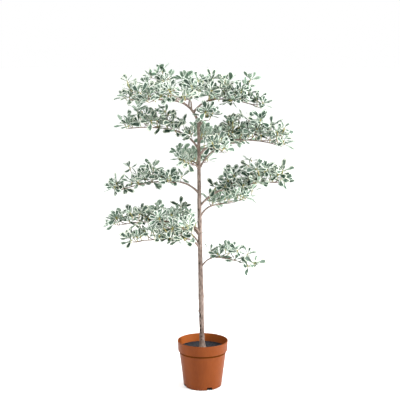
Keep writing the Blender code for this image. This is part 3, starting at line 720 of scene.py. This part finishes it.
# long side shoots of a bough: (share of its reach, rise, run along the limb, lean to the front)
RISERS = {
    "low_right": (
        (0.20, 0.026, 0.0, 0.0), (0.38, 0.014, -0.004, 0.01), (0.46, 0.05, 0.055, 0.01),
        (0.97, -0.008, 0.01, 0.01),
    ),
    "low_left": (
        (0.30, 0.07, 0.0, 0.01), (0.12, 0.03, 0.0, 0.04), (0.22, 0.004, 0.0, 0.05),
        (0.34, -0.004, 0.0, 0.05), (0.45, 0.01, 0.01, 0.06),
    ),
    "middle_low_left": (
        (0.09, 0.06, 0.0, 0.03), (0.22, 0.075, 0.01, 0.01), (0.66, 0.05, 0.025, 0.02),
        (0.97, 0.035, 0.02, 0.02), (0.99, 0.01, 0.03, 0.03),
    ),
    "middle_right": (
        (0.62, 0.105, 0.01, 0.01), (0.80, 0.055, 0.01, 0.02), (0.40, 0.06, 0.0, 0.02),
        (0.30, 0.012, 0.01, 0.05), (0.48, -0.004, 0.02, 0.07), (0.64, 0.006, 0.02, 0.08),
        (0.94, 0.035, 0.02, 0.02),
    ),
    "upper_left": (
        (0.98, 0.028, 0.025, 0.02), (0.60, 0.05, 0.01, 0.03), (0.45, 0.02, 0.01, 0.05),
        (0.74, 0.018, 0.01, 0.05), (0.24, 0.02, -0.004, 0.01),
    ),
    "upper_right": (
        (0.52, 0.115, 0.005, 0.01), (0.38, 0.085, 0.0, 0.02), (0.72, 0.08, 0.01, 0.02),
        (0.62, 0.115, 0.01, 0.0), (0.99, 0.012, 0.034, 0.01), (0.86, 0.075, 0.02, 0.0),
    ),
    "high_left": (
        (0.10, 0.03, 0.01, 0.05), (0.22, 0.045, 0.0, 0.03), (0.34, 0.03, 0.01, 0.04),
        (0.45, 0.08, 0.01, 0.02), (0.60, 0.085, 0.01, 0.01), (0.78, 0.07, 0.01, 0.03),
        (0.97, 0.038, 0.022, 0.01),
    ),
    "leader": (
        (0.75, 0.066, 0.005, 0.0), (0.97, 0.006, 0.01, 0.04), (0.60, -0.01, 0.01, 0.05),
        (0.85, 0.045, 0.02, 0.02),
    ),
    "crown_left": ((0.97, 0.004, 0.01, 0.02), (0.70, -0.004, 0.02, 0.05)),
    "crown_front": ((0.30, 0.07, 0.0, 0.01),),
    "crown_right": (
        (0.22, 0.095, 0.02, 0.0), (0.45, 0.075, 0.01, 0.02), (0.66, 0.048, 0.015, 0.0),
        (0.78, 0.045, 0.02, 0.02), (0.24, 0.04, 0.01, 0.05), (0.36, -0.01, 0.01, 0.05),
        (0.52, -0.01, 0.02, 0.06), (0.66, 0.01, 0.02, 0.06), (0.94, 0.035, 0.01, 0.02),
    ),
}
RISER_RADIUS = 0.0015
RISER_BEND = 0.10
RISER_TALL = 0.055  # from this length on a shoot bears two lower rosettes as well
FRONT = Vector((0, -1, 0))
OUTWARD_PLANE = 0.03  # rosettes behind this plane turn to the back
TURNED_OUT = 0.36  # how far a rosette turns from upright towards its own side of the tree
PALE_MASSES = ("crown_left", "leader", "crown_back", "upper_back", "middle_back_right")

LEAF_COLOURS = (
    # name, colour, roughness
    ("leaf_petiole", (0.26, 0.27, 0.08), 0.5),
    ("leaf_dark_1", (0.036, 0.068, 0.047), 0.45),
    ("leaf_dark_2", (0.066, 0.108, 0.080), 0.45),
    ("leaf_dark_3", (0.122, 0.176, 0.137), 0.48),
    ("leaf_middle_1", (0.30, 0.375, 0.30), 0.5),
    ("leaf_middle_2", (0.46, 0.53, 0.45), 0.5),
    ("leaf_margin_1", (0.74, 0.82, 0.73), 0.5),
    ("leaf_margin_2", (0.84, 0.88, 0.81), 0.5),
    ("leaf_margin_3", (0.82, 0.86, 0.72), 0.5),
    ("leaf_under_dark", (0.13, 0.20, 0.145), 0.6),
    ("leaf_under_middle", (0.28, 0.37, 0.29), 0.6),
    ("leaf_under_margin", (0.68, 0.77, 0.66), 0.6),
)
SLOTS = {name: slot for slot, (name, _, _) in enumerate(LEAF_COLOURS)}
DARKS = [SLOTS[f"leaf_dark_{k}"] for k in (1, 1, 2, 2, 3)]  # the two deepest are dealt twice as often
MIDDLES = [SLOTS[f"leaf_middle_{k}"] for k in (1, 2)]
MARGINS = [SLOTS[f"leaf_margin_{k}"] for k in (1, 2, 3)]
# the zone of a face by its place across the leaf
MARGIN, SHOULDER, HEART = 0, 1, 2


def leaf_faces():
    """A leaf's faces, and the place of each: (row, zone, side), where the side is top or under."""
    rows, columns = len(LEAF_ROWS), len(LEAF_COLUMNS)
    faces, places = [], []
    for row in range(rows - 1):
        for column in range(columns - 1):
            a = row * columns + column
            faces.append([a, a + 1, a + columns + 1, a + columns])
            places.append((row, min(column, columns - 2 - column), "top"))
    inner = UNDER_COLUMNS[1:-1]

    def under(row, column):
        """The underside's point: its own inside the leaf, and the top's along the rim."""
        if column in inner and 0 < row < rows - 1:
            return rows * columns + (row - 1) * len(inner) + inner.index(column)
        return row * columns + column

    for row in range(rows - 1):
        for left, right in zip(UNDER_COLUMNS, UNDER_COLUMNS[1:]):
            corners = [under(row, left), under(row + 1, left)]
            if row == rows - 2:
                corners += [(row + 1) * columns + k for k in range(left + 1, right)]
            corners += [under(row + 1, right), under(row, right)]
            if row == 0:
                corners += range(right - 1, left, -1)
            faces.append(corners)
            zone = MARGIN if left == 0 or right == columns - 1 else HEART
            places.append((row, zone, "under"))
    return faces, places


LEAF_FACES, LEAF_PLACES = leaf_faces()


def leaf_points(rng, root, direction, face, length):
    """The points of one leaf: cupped, nodding at its end, waved along its rim and a little twisted."""
    side = direction.cross(face).normalized()
    half = length * LEAF_WIDTH / 2 * rng.uniform(0.86, 1.12)
    cup = rng.uniform(0.0, 0.22)
    nod = rng.uniform(-0.06, 0.18)
    wave, phase = rng.uniform(0.0, 0.045), rng.uniform(0, math.tau)
    twist = rng.uniform(-0.45, 0.45)
    skew = rng.uniform(-0.07, 0.07)
    points, under = [], []
    for row, (along, width) in enumerate(LEAF_ROWS):
        turn = twist * along
        across = side * math.cos(turn) + face * math.sin(turn)
        above = face * math.cos(turn) - side * math.sin(turn)
        middle = root + direction * (along * length) - face * (nod * along**2 * length)
        middle = middle + side * (skew * length * math.sin(math.pi * along))
        for column in LEAF_COLUMNS:
            reach = column * width * half
            rise = cup * abs(reach) + wave * length * column**2 * math.sin(math.tau * 1.6 * along + phase)
            crease = -0.02 * length * (1 - abs(column)) * width
            rounded = 0.06 * length * (1 - column**2) if row == len(LEAF_ROWS) - 1 else 0.0
            points.append(middle + across * reach + above * (rise + crease) + direction * rounded)
        if 0 < row < len(LEAF_ROWS) - 1:
            first = len(points) - len(LEAF_COLUMNS)
            under += [points[first + k] - above * LEAF_THICKNESS for k in UNDER_COLUMNS[1:-1]]
    return points + under


def hides_trunk(points):
    """True if any of the points is in front of the trunk, where its bark shows."""
    if LEAF_ON_TRUNK[0] < points[0].z < LEAF_ON_TRUNK[1]:
        return False
    for point in points:
        beside = point.x - trunk_axis(min(point.z, TRUNK_TOP)).x
        if point.z < TRUNK_TOP and point.y < 0 and abs(beside) < TRUNK_WINDOW:
            return True
    return False


class Tints:
    """The colours that one spray shares, and the share of its hearts that is grey-green."""

    def __init__(self, rng, pale):
        self.dark = rng.choice(DARKS)
        self.middle = rng.choice(MIDDLES)
        self.margin = rng.choice(MARGINS)
        self.cream = rng.choice((0.2, 0.4, 0.6) if pale else (0.0, 0.1, 0.25))


def top_slot(rng, row, zone, tints):
    """A dark heart with a ragged grey-green edge, and a pale rim that also takes the middle of the tip."""
    last = len(LEAF_ROWS) - 2
    if row == 0:
        return SLOTS["leaf_petiole"]
    if zone == MARGIN:
        return tints.margin
    if zone == SHOULDER:
        heart = 0.0 if row == last else 0.72 - tints.cream - (0.3 if row == 1 else 0)
        return tints.dark if rng.random() < heart else tints.middle
    if row == last:
        return tints.margin
    return tints.dark if rng.random() > tints.cream else tints.middle


def leaf_slots(rng, tints):
    slots = []
    heart = rng.choice((SLOTS["leaf_under_dark"], SLOTS["leaf_under_middle"]))
    for row, zone, side in LEAF_PLACES:
        if side == "top":
            slots.append(top_slot(rng, row, zone, tints))
        else:
            slots.append(heart if zone == HEART else SLOTS["leaf_under_margin"])
    return slots


class Crown:
    """Grows the twigs, spurs and leaves of every mass."""

    def __init__(self, spaces):
        self.spaces = spaces
        self.twigs, self.spurs = Batch(), Batch()
        self.leaves = []  # (batch, its boughs), each under the most triangles of a piece
        self.cells = {}

    def crowded(self, place):
        """True if another leaf's middle lies within the leaf gap, and otherwise takes the place."""
        cell = [math.floor(value / LEAF_GAP) for value in place]
        for step in itertools.product((-1, 0, 1), repeat=3):
            near = self.cells.get(tuple(c + s for c, s in zip(cell, step)), ())
            if any((other - place).length < LEAF_GAP for other in near):
                return True
        self.cells.setdefault(tuple(cell), []).append(place)
        return False

    def rosette(self, bough, rng, top, axis, vigour=1.0):
        """Leaves round a spur's end, short and upright at the top. Returns how many found room."""
        placed = 0
        turn = rng.uniform(0, math.tau)
        count = rng.randint(*LEAVES)
        tints = Tints(rng, bough.name in PALE_MASSES)
        sideways = axis.orthogonal().normalized()
        other = axis.cross(sideways)
        for k in range(count):
            share = k / (count - 1)
            stray = rng.uniform(-SPLAY_STRAY, SPLAY_STRAY)
            splay = math.radians(SPLAYS[0] + (SPLAYS[1] - SPLAYS[0]) * share**0.75 + stray)
            azimuth = turn + GOLDEN_TURN * k + rng.uniform(-0.25, 0.25)
            out = sideways * math.cos(azimuth) + other * math.sin(azimuth)
            direction = (axis * math.cos(splay) + out * math.sin(splay)).normalized()
            face = (axis * math.sin(splay) - out * math.cos(splay)).normalized()
            roll = math.radians(rng.uniform(-LEAF_ROLL, LEAF_ROLL))
            side = direction.cross(face)
            face = (face * math.cos(roll) + side * math.sin(roll)).normalized()
            grown = INNER_LEAF + (1 - INNER_LEAF) * min(1.0, share * 1.6)
            length = rng.uniform(*LEAF_LENGTHS) * grown * vigour
            root = top - axis * (LEAF_STEP * k)
            heart = root + direction * (length * 0.6)
            wide = side * (length * LEAF_WIDTH / 2)
            samples = [heart, root + direction * length, heart + wide, heart - wide]
            if hides_trunk([*samples, root]) or not self.spaces.free(bough.name, samples, *LEAF_MARGINS):
                continue
            if self.crowded(heart):
                continue
            points = leaf_points(rng, root, direction, face, length)
            self.leaves[-1][0].add(points, LEAF_FACES, leaf_slots(rng, tints))
            placed += 1
        return placed

    def spur(self, bough, rng, foot, lean, height, vigour=1.0):
        """An upright, ringed short shoot, thicker at its top, with its rosette. None without a leaf."""
        stray = Vector((rng.uniform(-1, 1), rng.uniform(-1, 1), 0)) * SPUR_STRAY
        axis = (UP + lean + stray).normalized()
        bend = axis.orthogonal().normalized() * (height * rng.uniform(-0.12, 0.12))
        shares = [k / SPUR_RINGS for k in range(SPUR_RINGS + 1)]
        path = [foot + axis * (height * share) + bend * math.sin(math.pi * share) for share in shares]
        radii = taper(SPUR_FOOT_RADIUS, SPUR_TOP_RADIUS, len(shares))
        radii = [radius * SPUR_BANDS[k % 2] for k, radius in enumerate(radii)]
        radii[-1] = SPUR_FOOT_RADIUS * 0.7
        outward = FRONT if foot.y < OUTWARD_PLANE else -FRONT
        if self.rosette(bough, rng, path[-1], (axis + outward * TURNED_OUT).normalized(), vigour):
            add_tube(self.spurs, path, radii, SPUR_SIDES)

    def stem(self, corners, foot, tip, collar=1.0):
        """A smooth thin stem through the corners, from its foot's radius to its tip's. Returns its path."""
        path = smooth_path(corners, TWIG_RING)
        radii = taper(foot, tip, len(path))
        radii[0] *= collar
        add_tube(self.twigs, path, radii, TWIG_SIDES)
        return path

    def twig(self, bough, rng, out, side, length, rise):
        """One planned twig with sprigs and spurs, run on past the CAD's tip where there is room."""
        share = (out - bare_end(bough)) / (bough.reach - bare_end(bough))
        foot = limb_point(bough, out)
        ahead = limb_direction(bough, out)
        ahead = Vector((ahead.x, ahead.y, 0)).normalized()
        angle = math.radians(TWIG_ANGLE_FOOT + (TWIG_ANGLE_TIP - TWIG_ANGLE_FOOT) * share)
        away = ahead * math.cos(angle) + left_of(ahead) * side * math.sin(angle)
        tip = foot + away * length + ahead * (length * TWIG_CURVE) + UP * rise
        top = tip + (UP + away * SPUR_LEAN).normalized() * SPUR_HEIGHT
        if not self.spaces.free(bough.name, points_along([foot, tip, top], STEM_CLEARANCE, SAMPLE_SPACING)):
            return False
        grown = tip + (tip - foot).normalized() * TWIG_GROWTH
        if self.spaces.free(bough.name, [grown, grown + UP * SPUR_HEIGHT]):
            tip = grown
        outward = (tip - foot).normalized()
        across = (tip - foot).cross(UP).normalized()
        sparse, tall = HABITS.get(bough.name, USUAL)
        count = max(1, round((tip - foot).length / (SPUR_SPACING * sparse)))
        corners = [foot]
        for k in range(1, count):
            sag = UP * (-rise * 0.25 * math.sin(math.pi * k / count))
            step = across * (KINK * (-1) ** k * rng.uniform(0.6, 1.4))
            corners.append(foot.lerp(tip, k / count) + step + sag)
        corners.append(tip)
        self.stem(corners, TWIG_RADIUS, TWIG_TIP_RADIUS, TWIG_COLLAR)
        for k, corner in enumerate(corners[1:-1]):
            turn = (-1) ** k
            lean = across * (0.35 * turn) + outward * 0.25
            base = corner
            if rng.random() < SPRIG_SHARE:
                base = self.sprig(bough, rng, corner, outward, across * turn)
            self.spur(bough, rng, base, lean, rng.uniform(*SPUR_HEIGHTS) * tall)
        self.spur(bough, rng, tip, outward * 0.45, rng.uniform(*SPUR_HEIGHTS))
        return True

    def sprig(self, bough, rng, foot, outward, across):
        """A short side shoot from a twig. Returns its end, or its foot where there is no room."""
        length = rng.uniform(*SPRIG_LENGTHS)
        direction = (outward * 0.55 + across * 0.8 + UP * rng.uniform(0.0, 0.5)).normalized()
        end = foot + direction * length
        if not self.spaces.free(bough.name, [end, end + UP * SPUR_HEIGHT]):
            return foot
        corners = [foot, foot.lerp(end, 0.5) - UP * (length * 0.06), end]
        self.stem(corners, TWIG_TIP_RADIUS * 1.25, TWIG_TIP_RADIUS)
        return end

    def riser(self, bough, rng, share, rise, run, front):
        """A long side shoot with a rosette at its end and, where it is tall, smaller ones below."""
        ahead = limb_direction(bough, share * bough.reach)
        foot = limb_point(bough, share * bough.reach)
        top = foot + UP * rise + ahead * run + FRONT * front
        height = (top - foot).length
        bow = ahead * (height * RISER_BEND * rng.choice((-1, 1)))
        path = self.stem([foot, foot.lerp(top, 0.5) + bow, top], RISER_RADIUS, TWIG_TIP_RADIUS)
        side = rng.choice((-1, 1))
        for share_up in (0.45, 0.75) if height > RISER_TALL else ():
            place = path[round(share_up * (len(path) - 1))]
            direction = ahead * side + FRONT * rng.uniform(-0.5, 0.8)
            self.spur(bough, rng, place, direction * 0.9, SPUR_HEIGHTS[0] * 1.3, 0.9)
            side = -side
        self.spur(bough, rng, top, (top - foot).normalized() * 0.3, SPUR_HEIGHTS[0])

    def mass(self, bough):
        """A mass of foliage: planned twigs, spurs on the stem between them, its grown tip and its risers."""
        if not self.leaves or self.leaves[-1][0].triangles() > FULL_BATCH:
            self.leaves.append((Batch(), []))
        self.leaves[-1][1].append(bough)
        rng = random.Random(bough.seed)
        for out, side, length, rise in twig_plan(bough, rng):
            for shorter in TWIG_TRIES:
                if self.twig(bough, rng, out, side, length * shorter, rise * shorter):
                    break
        start, end = bare_end(bough), bough.reach + STEM_GROWTH
        sparse, tall = HABITS.get(bough.name, USUAL)
        count = max(2, round((end - start) / (SPUR_SPACING * sparse)))
        for k in range(count):
            out = start + (end - start) * (k + rng.uniform(0.2, 0.8)) / count
            ahead = limb_direction(bough, out)
            across = ahead.cross(UP).normalized() * (-1) ** k
            height = rng.uniform(*SPUR_HEIGHTS) * tall
            self.spur(bough, rng, limb_point(bough, out), across * 0.5 + ahead * 0.2, height)
        ahead = limb_direction(bough, end)
        self.spur(bough, rng, limb_point(bough, end), ahead * 0.7, rng.uniform(*SPUR_HEIGHTS), 1.05)
        for row in RISERS.get(bough.name, ()):
            self.riser(bough, rng, *row)


# ---- pot and compost

POT_SEGMENTS = 128
POT_HEIGHT = 0.235
RIM_RADIUS = 0.127
BAND_HEIGHT = 0.0515
BAND_FOOT_RADIUS = 0.124
BAND_STEP = 0.008
NECK_RADIUS = 0.1175
BASE_RADIUS = 0.095
BASE_CORNER = 0.008
WALL = 0.003
FLOOR = 0.004
LIP = 0.0016
EDGE = 0.0012
LEDGE = POT_HEIGHT - BAND_HEIGHT
NECK = LEDGE - BAND_STEP
# the ring of faces between these heights takes a dark copy of the plastic: painted shade under the band
PAINTED_SHADE_TOP = LEDGE - BAND_STEP * 0.2
PAINTED_SHADE_FOOT = NECK - 0.002
NOTCH_COUNT = 4
NOTCH_TURN = 21.0
NOTCH_WIDTH = 0.028
NOTCH_HEIGHT = 0.015
NOTCH_DEPTH = 0.020
NOTCH_CORNER = 0.003
OVERRUN = 0.01  # of the notches' cutters, past the pot
SHARP = 30.0  # degrees, from which an edge of the pot is sharp


def side_radius(height):
    """The wall's outer radius at a height under the band."""
    return BASE_RADIUS + (NECK_RADIUS - BASE_RADIUS) * height / NECK


def arc(centre, radius, start, end, steps):
    """(radius, height) points round part of a circle, angles in degrees."""
    found = []
    for k in range(steps + 1):
        angle = math.radians(start + (end - start) * k / steps)
        found.append((centre[0] + radius * math.cos(angle), centre[1] + radius * math.sin(angle)))
    return found


def pot_profile():
    """(radius, height) from the middle of the floor inside, over the rim, down to the underside."""
    inside = [(0.0, FLOOR), (BASE_RADIUS - WALL - 0.004, FLOOR)]
    inside += [(side_radius(FLOOR) - WALL, FLOOR + 0.004)]
    inside += [(side_radius(z) - WALL, z) for z in (0.05, 0.09, 0.13)]
    inside += [(NECK_RADIUS - WALL, NECK + WALL), (BAND_FOOT_RADIUS - WALL, LEDGE + WALL)]
    rim = arc((RIM_RADIUS - LIP, POT_HEIGHT - LIP), LIP, 180, 0, 8)
    band = [(RIM_RADIUS - 0.0008, POT_HEIGHT - 0.010), (BAND_FOOT_RADIUS + 0.0003, LEDGE + EDGE)]
    band += arc((BAND_FOOT_RADIUS - EDGE, LEDGE + EDGE), EDGE, 0, -70, 4)
    under = [(NECK_RADIUS + 0.0020, LEDGE - BAND_STEP * 0.55), (NECK_RADIUS, NECK)]
    side = [(side_radius(z), z) for z in (PAINTED_SHADE_FOOT, 0.165, 0.14, 0.11, 0.08, 0.05, 0.03, 0.018)]
    corner = arc((side_radius(BASE_CORNER) - BASE_CORNER, BASE_CORNER), BASE_CORNER, 0, -90, 6)
    return [*inside, *rim, *band, *under, *side, *corner, (0.0, 0.0)]


def from_bmesh(bm, name, material):
    bmesh.ops.recalc_face_normals(bm, faces=bm.faces)
    mesh = bpy.data.meshes.new(name)
    bm.to_mesh(mesh)
    bm.free()
    mesh.materials.append(material)
    return add_object(name, mesh)


def turned(name, profile, steps, material):
    """A closed solid of revolution round Z."""
    bm = bmesh.new()
    chain = [bm.verts.new((radius, 0.0, height)) for radius, height in profile]
    chain += [bm.edges.new(pair) for pair in zip(chain, chain[1:])]
    bmesh.ops.spin(bm, geom=chain, cent=(0, 0, 0), axis=UP, angle=math.tau, steps=steps, use_merge=True)
    bmesh.ops.remove_doubles(bm, verts=bm.verts, dist=1e-6)
    obj = from_bmesh(bm, name, material)
    obj.data.shade_smooth()
    obj.data.set_sharp_from_angle(angle=math.radians(SHARP))
    return obj


def notch_cutter(material):
    """Rounded blocks that cut the drainage notches through the foot of the wall, and give the cut walls their
    near-black material as painted shade.
    """
    bm = bmesh.new()
    half, middle = NOTCH_WIDTH / 2, NOTCH_HEIGHT - NOTCH_CORNER
    outline = [(-half, -OVERRUN), (half, -OVERRUN)]
    outline += arc((half - NOTCH_CORNER, middle), NOTCH_CORNER, 0, 90, 4)
    outline += arc((-half + NOTCH_CORNER, middle), NOTCH_CORNER, 90, 180, 4)
    for k in range(NOTCH_COUNT):
        outward = level(math.radians(NOTCH_TURN) + math.tau * k / NOTCH_COUNT)
        ends = []
        for distance in (BASE_RADIUS - NOTCH_DEPTH, BASE_RADIUS + OVERRUN):
            places = [outward * distance + left_of(outward) * s + UP * z for s, z in outline]
            ends.append([bm.verts.new(place) for place in places])
            bm.faces.new(ends[-1])
        for this in range(len(outline)):
            after = (this + 1) % len(outline)
            bm.faces.new((ends[0][this], ends[0][after], ends[1][after], ends[1][this]))
    return from_bmesh(bm, "notch_cutter", material)


def make_pot(outside, inside, painted_band_shade, notch_shade):
    """The pot's shell: a paler copy of the plastic inside as painted light, a dark ring under the band as
    painted shade, and notch walls in the compost's near-black colour as painted shade.
    """
    pot = turned("pot_shell", pot_profile(), POT_SEGMENTS, outside)
    pot.data.materials.append(inside)
    pot.data.materials.append(painted_band_shade)
    for face in pot.data.polygons:
        # inward faces take a paler copy of the plastic: painted light on the inner wall
        if face.normal.dot(Vector((face.center.x, face.center.y, 0))) < 0 and face.center.z > FLOOR:
            face.material_index = 1
        # faces under the band take the dark copy of the plastic: painted shade
        elif PAINTED_SHADE_FOOT < face.center.z < PAINTED_SHADE_TOP:
            face.material_index = 2
    cutter = notch_cutter(notch_shade)
    modifier = pot.modifiers.new("notches", "BOOLEAN")
    modifier.operation = "DIFFERENCE"
    modifier.solver = "EXACT"
    modifier.object = cutter
    # the cut walls take the cutter's near-black colour: painted shade in the notches
    modifier.material_mode = "TRANSFER"
    bpy.context.view_layer.update()
    mesh = bpy.data.meshes.new_from_object(pot.evaluated_get(bpy.context.evaluated_depsgraph_get()))
    pot.modifiers.clear()
    pot.data = mesh
    bpy.data.objects.remove(cutter)
    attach(pot, "root")
    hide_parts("pot")


CRUMBS = 2600
CRUMB_SIZES = (0.0011, 0.0034)
SOIL_RINGS = 26
SOIL_SIDES = 96
SOIL_DEPTH = 0.008
SOIL_GAP = 0.001  # between the fill and the pot's wall


def soil_height(x, y):
    clods = noise.noise(Vector((x * 60, y * 60, 3))) * 0.0016
    grains = noise.noise(Vector((x * 240, y * 240, 1))) * 0.0009
    mound = 0.002 * math.exp(-((x * x + y * y) / 0.03**2))
    return SOIL_LEVEL - 0.0015 + (clods + grains) + mound


def make_compost(material):
    """An uneven fill with loose crumbs strewn over it."""
    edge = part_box("compost")[1].x - SOIL_GAP
    grid = []
    for ring in range(1, SOIL_RINGS + 1):
        for k in range(SOIL_SIDES):
            place = level(math.tau * k / SOIL_SIDES) * (edge * ring / SOIL_RINGS)
            grid.append((place.x, place.y, soil_height(place.x, place.y)))
    last, centre = len(grid) - SOIL_SIDES, len(grid)
    grid.append((0.0, 0.0, soil_height(0, 0)))
    grid += [(x, y, SOIL_LEVEL - SOIL_DEPTH) for x, y, _ in grid[last:centre]]
    foot = centre + 1
    rings = [(a, a + SOIL_SIDES) for a in range(0, last, SOIL_SIDES)] + [(last, foot)]
    faces = []
    for k in range(SOIL_SIDES):
        after = (k + 1) % SOIL_SIDES
        faces.append((centre, k, after))
        faces += [(a + k, b + k, b + after, a + after) for a, b in rings]
    faces.append(range(foot, foot + SOIL_SIDES)[::-1])
    batch = Batch()
    batch.add(grid, faces, 0)
    add_crumbs(batch, edge)
    fill = batch.build("compost_fill", [material])
    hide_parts("compost")


def add_crumbs(batch, edge):
    rng = random.Random(12)
    ball = bmesh.new()
    bmesh.ops.create_icosphere(ball, subdivisions=1, radius=1.0)
    unit = np.array([tuple(vert.co) for vert in ball.verts])
    faces = [[vert.index for vert in face.verts] for face in ball.faces]
    ball.free()
    shaker = np.random.default_rng(4)
    for _ in range(CRUMBS):
        size = rng.uniform(*CRUMB_SIZES) * rng.uniform(0.5, 1.0)
        radius = (edge - size) * math.sqrt(rng.random())
        angle = rng.uniform(0, math.tau)
        x, y = radius * math.cos(angle), radius * math.sin(angle)
        turn = Matrix.Rotation(rng.uniform(0, math.tau), 3, Vector([rng.random() for _ in range(3)]))
        shape = unit * np.array((size, size * rng.uniform(0.5, 0.9), size * rng.uniform(0.4, 0.8))) / 1.4
        shape = shape * shaker.uniform(0.75, 1.2, (len(unit), 1))
        points = shape @ np.array(turn) + np.array((x, y, soil_height(x, y) + size * 0.15))
        batch.add(points, faces, 0)


# ---- studio

CAMERA_PLACE = (-0.0136, -5.0, 1.718)
CAMERA_PITCH = 8.755
CAMERA_LENS = 92.295
# name, place, target, size, power
SOFT_BOXES = (
    ("key", (3.7, -1.3, 2.2), (0, 0, 0.8), (1.2, 2.4), 300),
    ("fill", (-3.0, -1.2, 4.0), (0, 0, 0.5), (1.8, 1.8), 125),
)
OVERHEAD_POWER = 2.1
OVERHEAD_SPREAD = 100.0
OVERHEAD_TILT = (-10.0, 8.0)
LIGHT_ALL_ROUND = 0.45
FLOOR_REACH = 60.0
FLOOR_LEVEL = -0.0005


def make_camera():
    camera = bpy.data.cameras.new("camera")
    camera.lens = CAMERA_LENS
    camera.sensor_width = 36
    obj = add_object("camera", camera)
    obj.location = CAMERA_PLACE
    obj.rotation_euler = (math.radians(90 - CAMERA_PITCH), 0, 0)
    bpy.context.scene.camera = obj


def soft_box(name, place, target, size, power):
    light = bpy.data.lights.new(name, "AREA")
    light.shape = "RECTANGLE"
    light.size, light.size_y = size
    light.energy = power
    obj = add_object(name, light)
    obj.location = place
    obj.rotation_mode = "QUATERNION"
    obj.rotation_quaternion = (Vector(target) - Vector(place)).to_track_quat("-Z", "Y")


def overhead_light():
    sun = bpy.data.lights.new("overhead", "SUN")
    sun.energy = OVERHEAD_POWER
    sun.angle = math.radians(OVERHEAD_SPREAD)
    add_object("overhead", sun).rotation_euler = (*[math.radians(tilt) for tilt in OVERHEAD_TILT], 0)


def make_world():
    """A white backdrop, and a dimmer even light from all round."""
    world = bpy.data.worlds.new("studio")
    bpy.context.scene.world = world
    world.use_nodes = True
    tree = world.node_tree
    path = tree.nodes.new("ShaderNodeLightPath")
    mix = tree.nodes.new("ShaderNodeMixShader")
    tree.links.new(path.outputs["Is Camera Ray"], mix.inputs["Fac"])
    light, backdrop = tree.nodes["Background"], tree.nodes.new("ShaderNodeBackground")
    for socket, (node, strength) in enumerate(((light, LIGHT_ALL_ROUND), (backdrop, 1.0)), 1):
        node.inputs["Color"].default_value = (1, 1, 1, 1)
        node.inputs["Strength"].default_value = strength
        tree.links.new(node.outputs["Background"], mix.inputs[socket])
    tree.links.new(mix.outputs["Shader"], tree.nodes["World Output"].inputs["Surface"])


def make_floor():
    mesh = bpy.data.meshes.new("floor")
    far = FLOOR_REACH
    mesh.from_pydata([(-far, -far, 0), (far, -far, 0), (far, far, 0), (-far, far, 0)], [], [(0, 1, 2, 3)])
    mesh.materials.append(Look("floor", WHITE, 0.9, 0.0).material)
    floor = add_object("floor", mesh)
    floor.location.z = FLOOR_LEVEL


# ---- the whole plant


def make_limbs():
    wood = Batch()
    add_trunk(wood)
    add_stub(wood)
    for bough in BOUGHS:
        add_limb(wood, bough)
    bark = bark_material("bark", (0.115, 0.084, 0.068), (0.29, 0.218, 0.184), (0.46, 0.375, 0.330), aged=True)
    knots = bark_material("bark_dark", (0.016, 0.011, 0.009), (0.035, 0.025, 0.020), (0.07, 0.052, 0.044))
    limbs = wood.build("bark", [bark, knots])
    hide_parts("trunk", *[bough.name + "_bough" for bough in BOUGHS])


def make_crown():
    crown = Crown(Spaces())
    for bough in BOUGHS:
        crown.mass(bough)
    bark = bark_material("twig_bark", (0.08, 0.045, 0.034), (0.16, 0.100, 0.078), (0.26, 0.19, 0.16), 1.6)
    twigs = crown.twigs.build("twigs", [bark])
    spurs = crown.spurs.build("spurs", [spur_material()])
    colours = [leaf_material(*row) for row in LEAF_COLOURS]
    for number, (batch, boughs) in enumerate(crown.leaves, 1):
        leaves = batch.build(f"leaves_{number}", colours)
        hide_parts(*[bough.name + "_foliage" for bough in boughs])


def main():
    make_world()
    for row in SOFT_BOXES:
        soft_box(*row)
    overhead_light()
    make_floor()
    make_camera()
    bpy.context.scene.view_settings.view_transform = "Standard"
    outside = pot_material("pot", (0.158, 0.0340, 0.0044), (0.198, 0.0470, 0.0080))
    # a paler copy of the pot's plastic for the inner wall: painted light
    inside = pot_material("pot_inside_painted_light", (0.31, 0.080, 0.016), (0.36, 0.096, 0.021))
    # a dark copy of the pot's plastic for the ring under the band: painted shade
    painted_band_shade = pot_material("pot_painted_shade", (0.070, 0.019, 0.003), (0.095, 0.026, 0.004), 0.0)
    compost = compost_material()
    # the compost's near-black colour also goes on the notch walls as painted shade
    make_pot(outside, inside, painted_band_shade, compost)
    make_compost(compost)
    make_limbs()
    make_crown()


main()
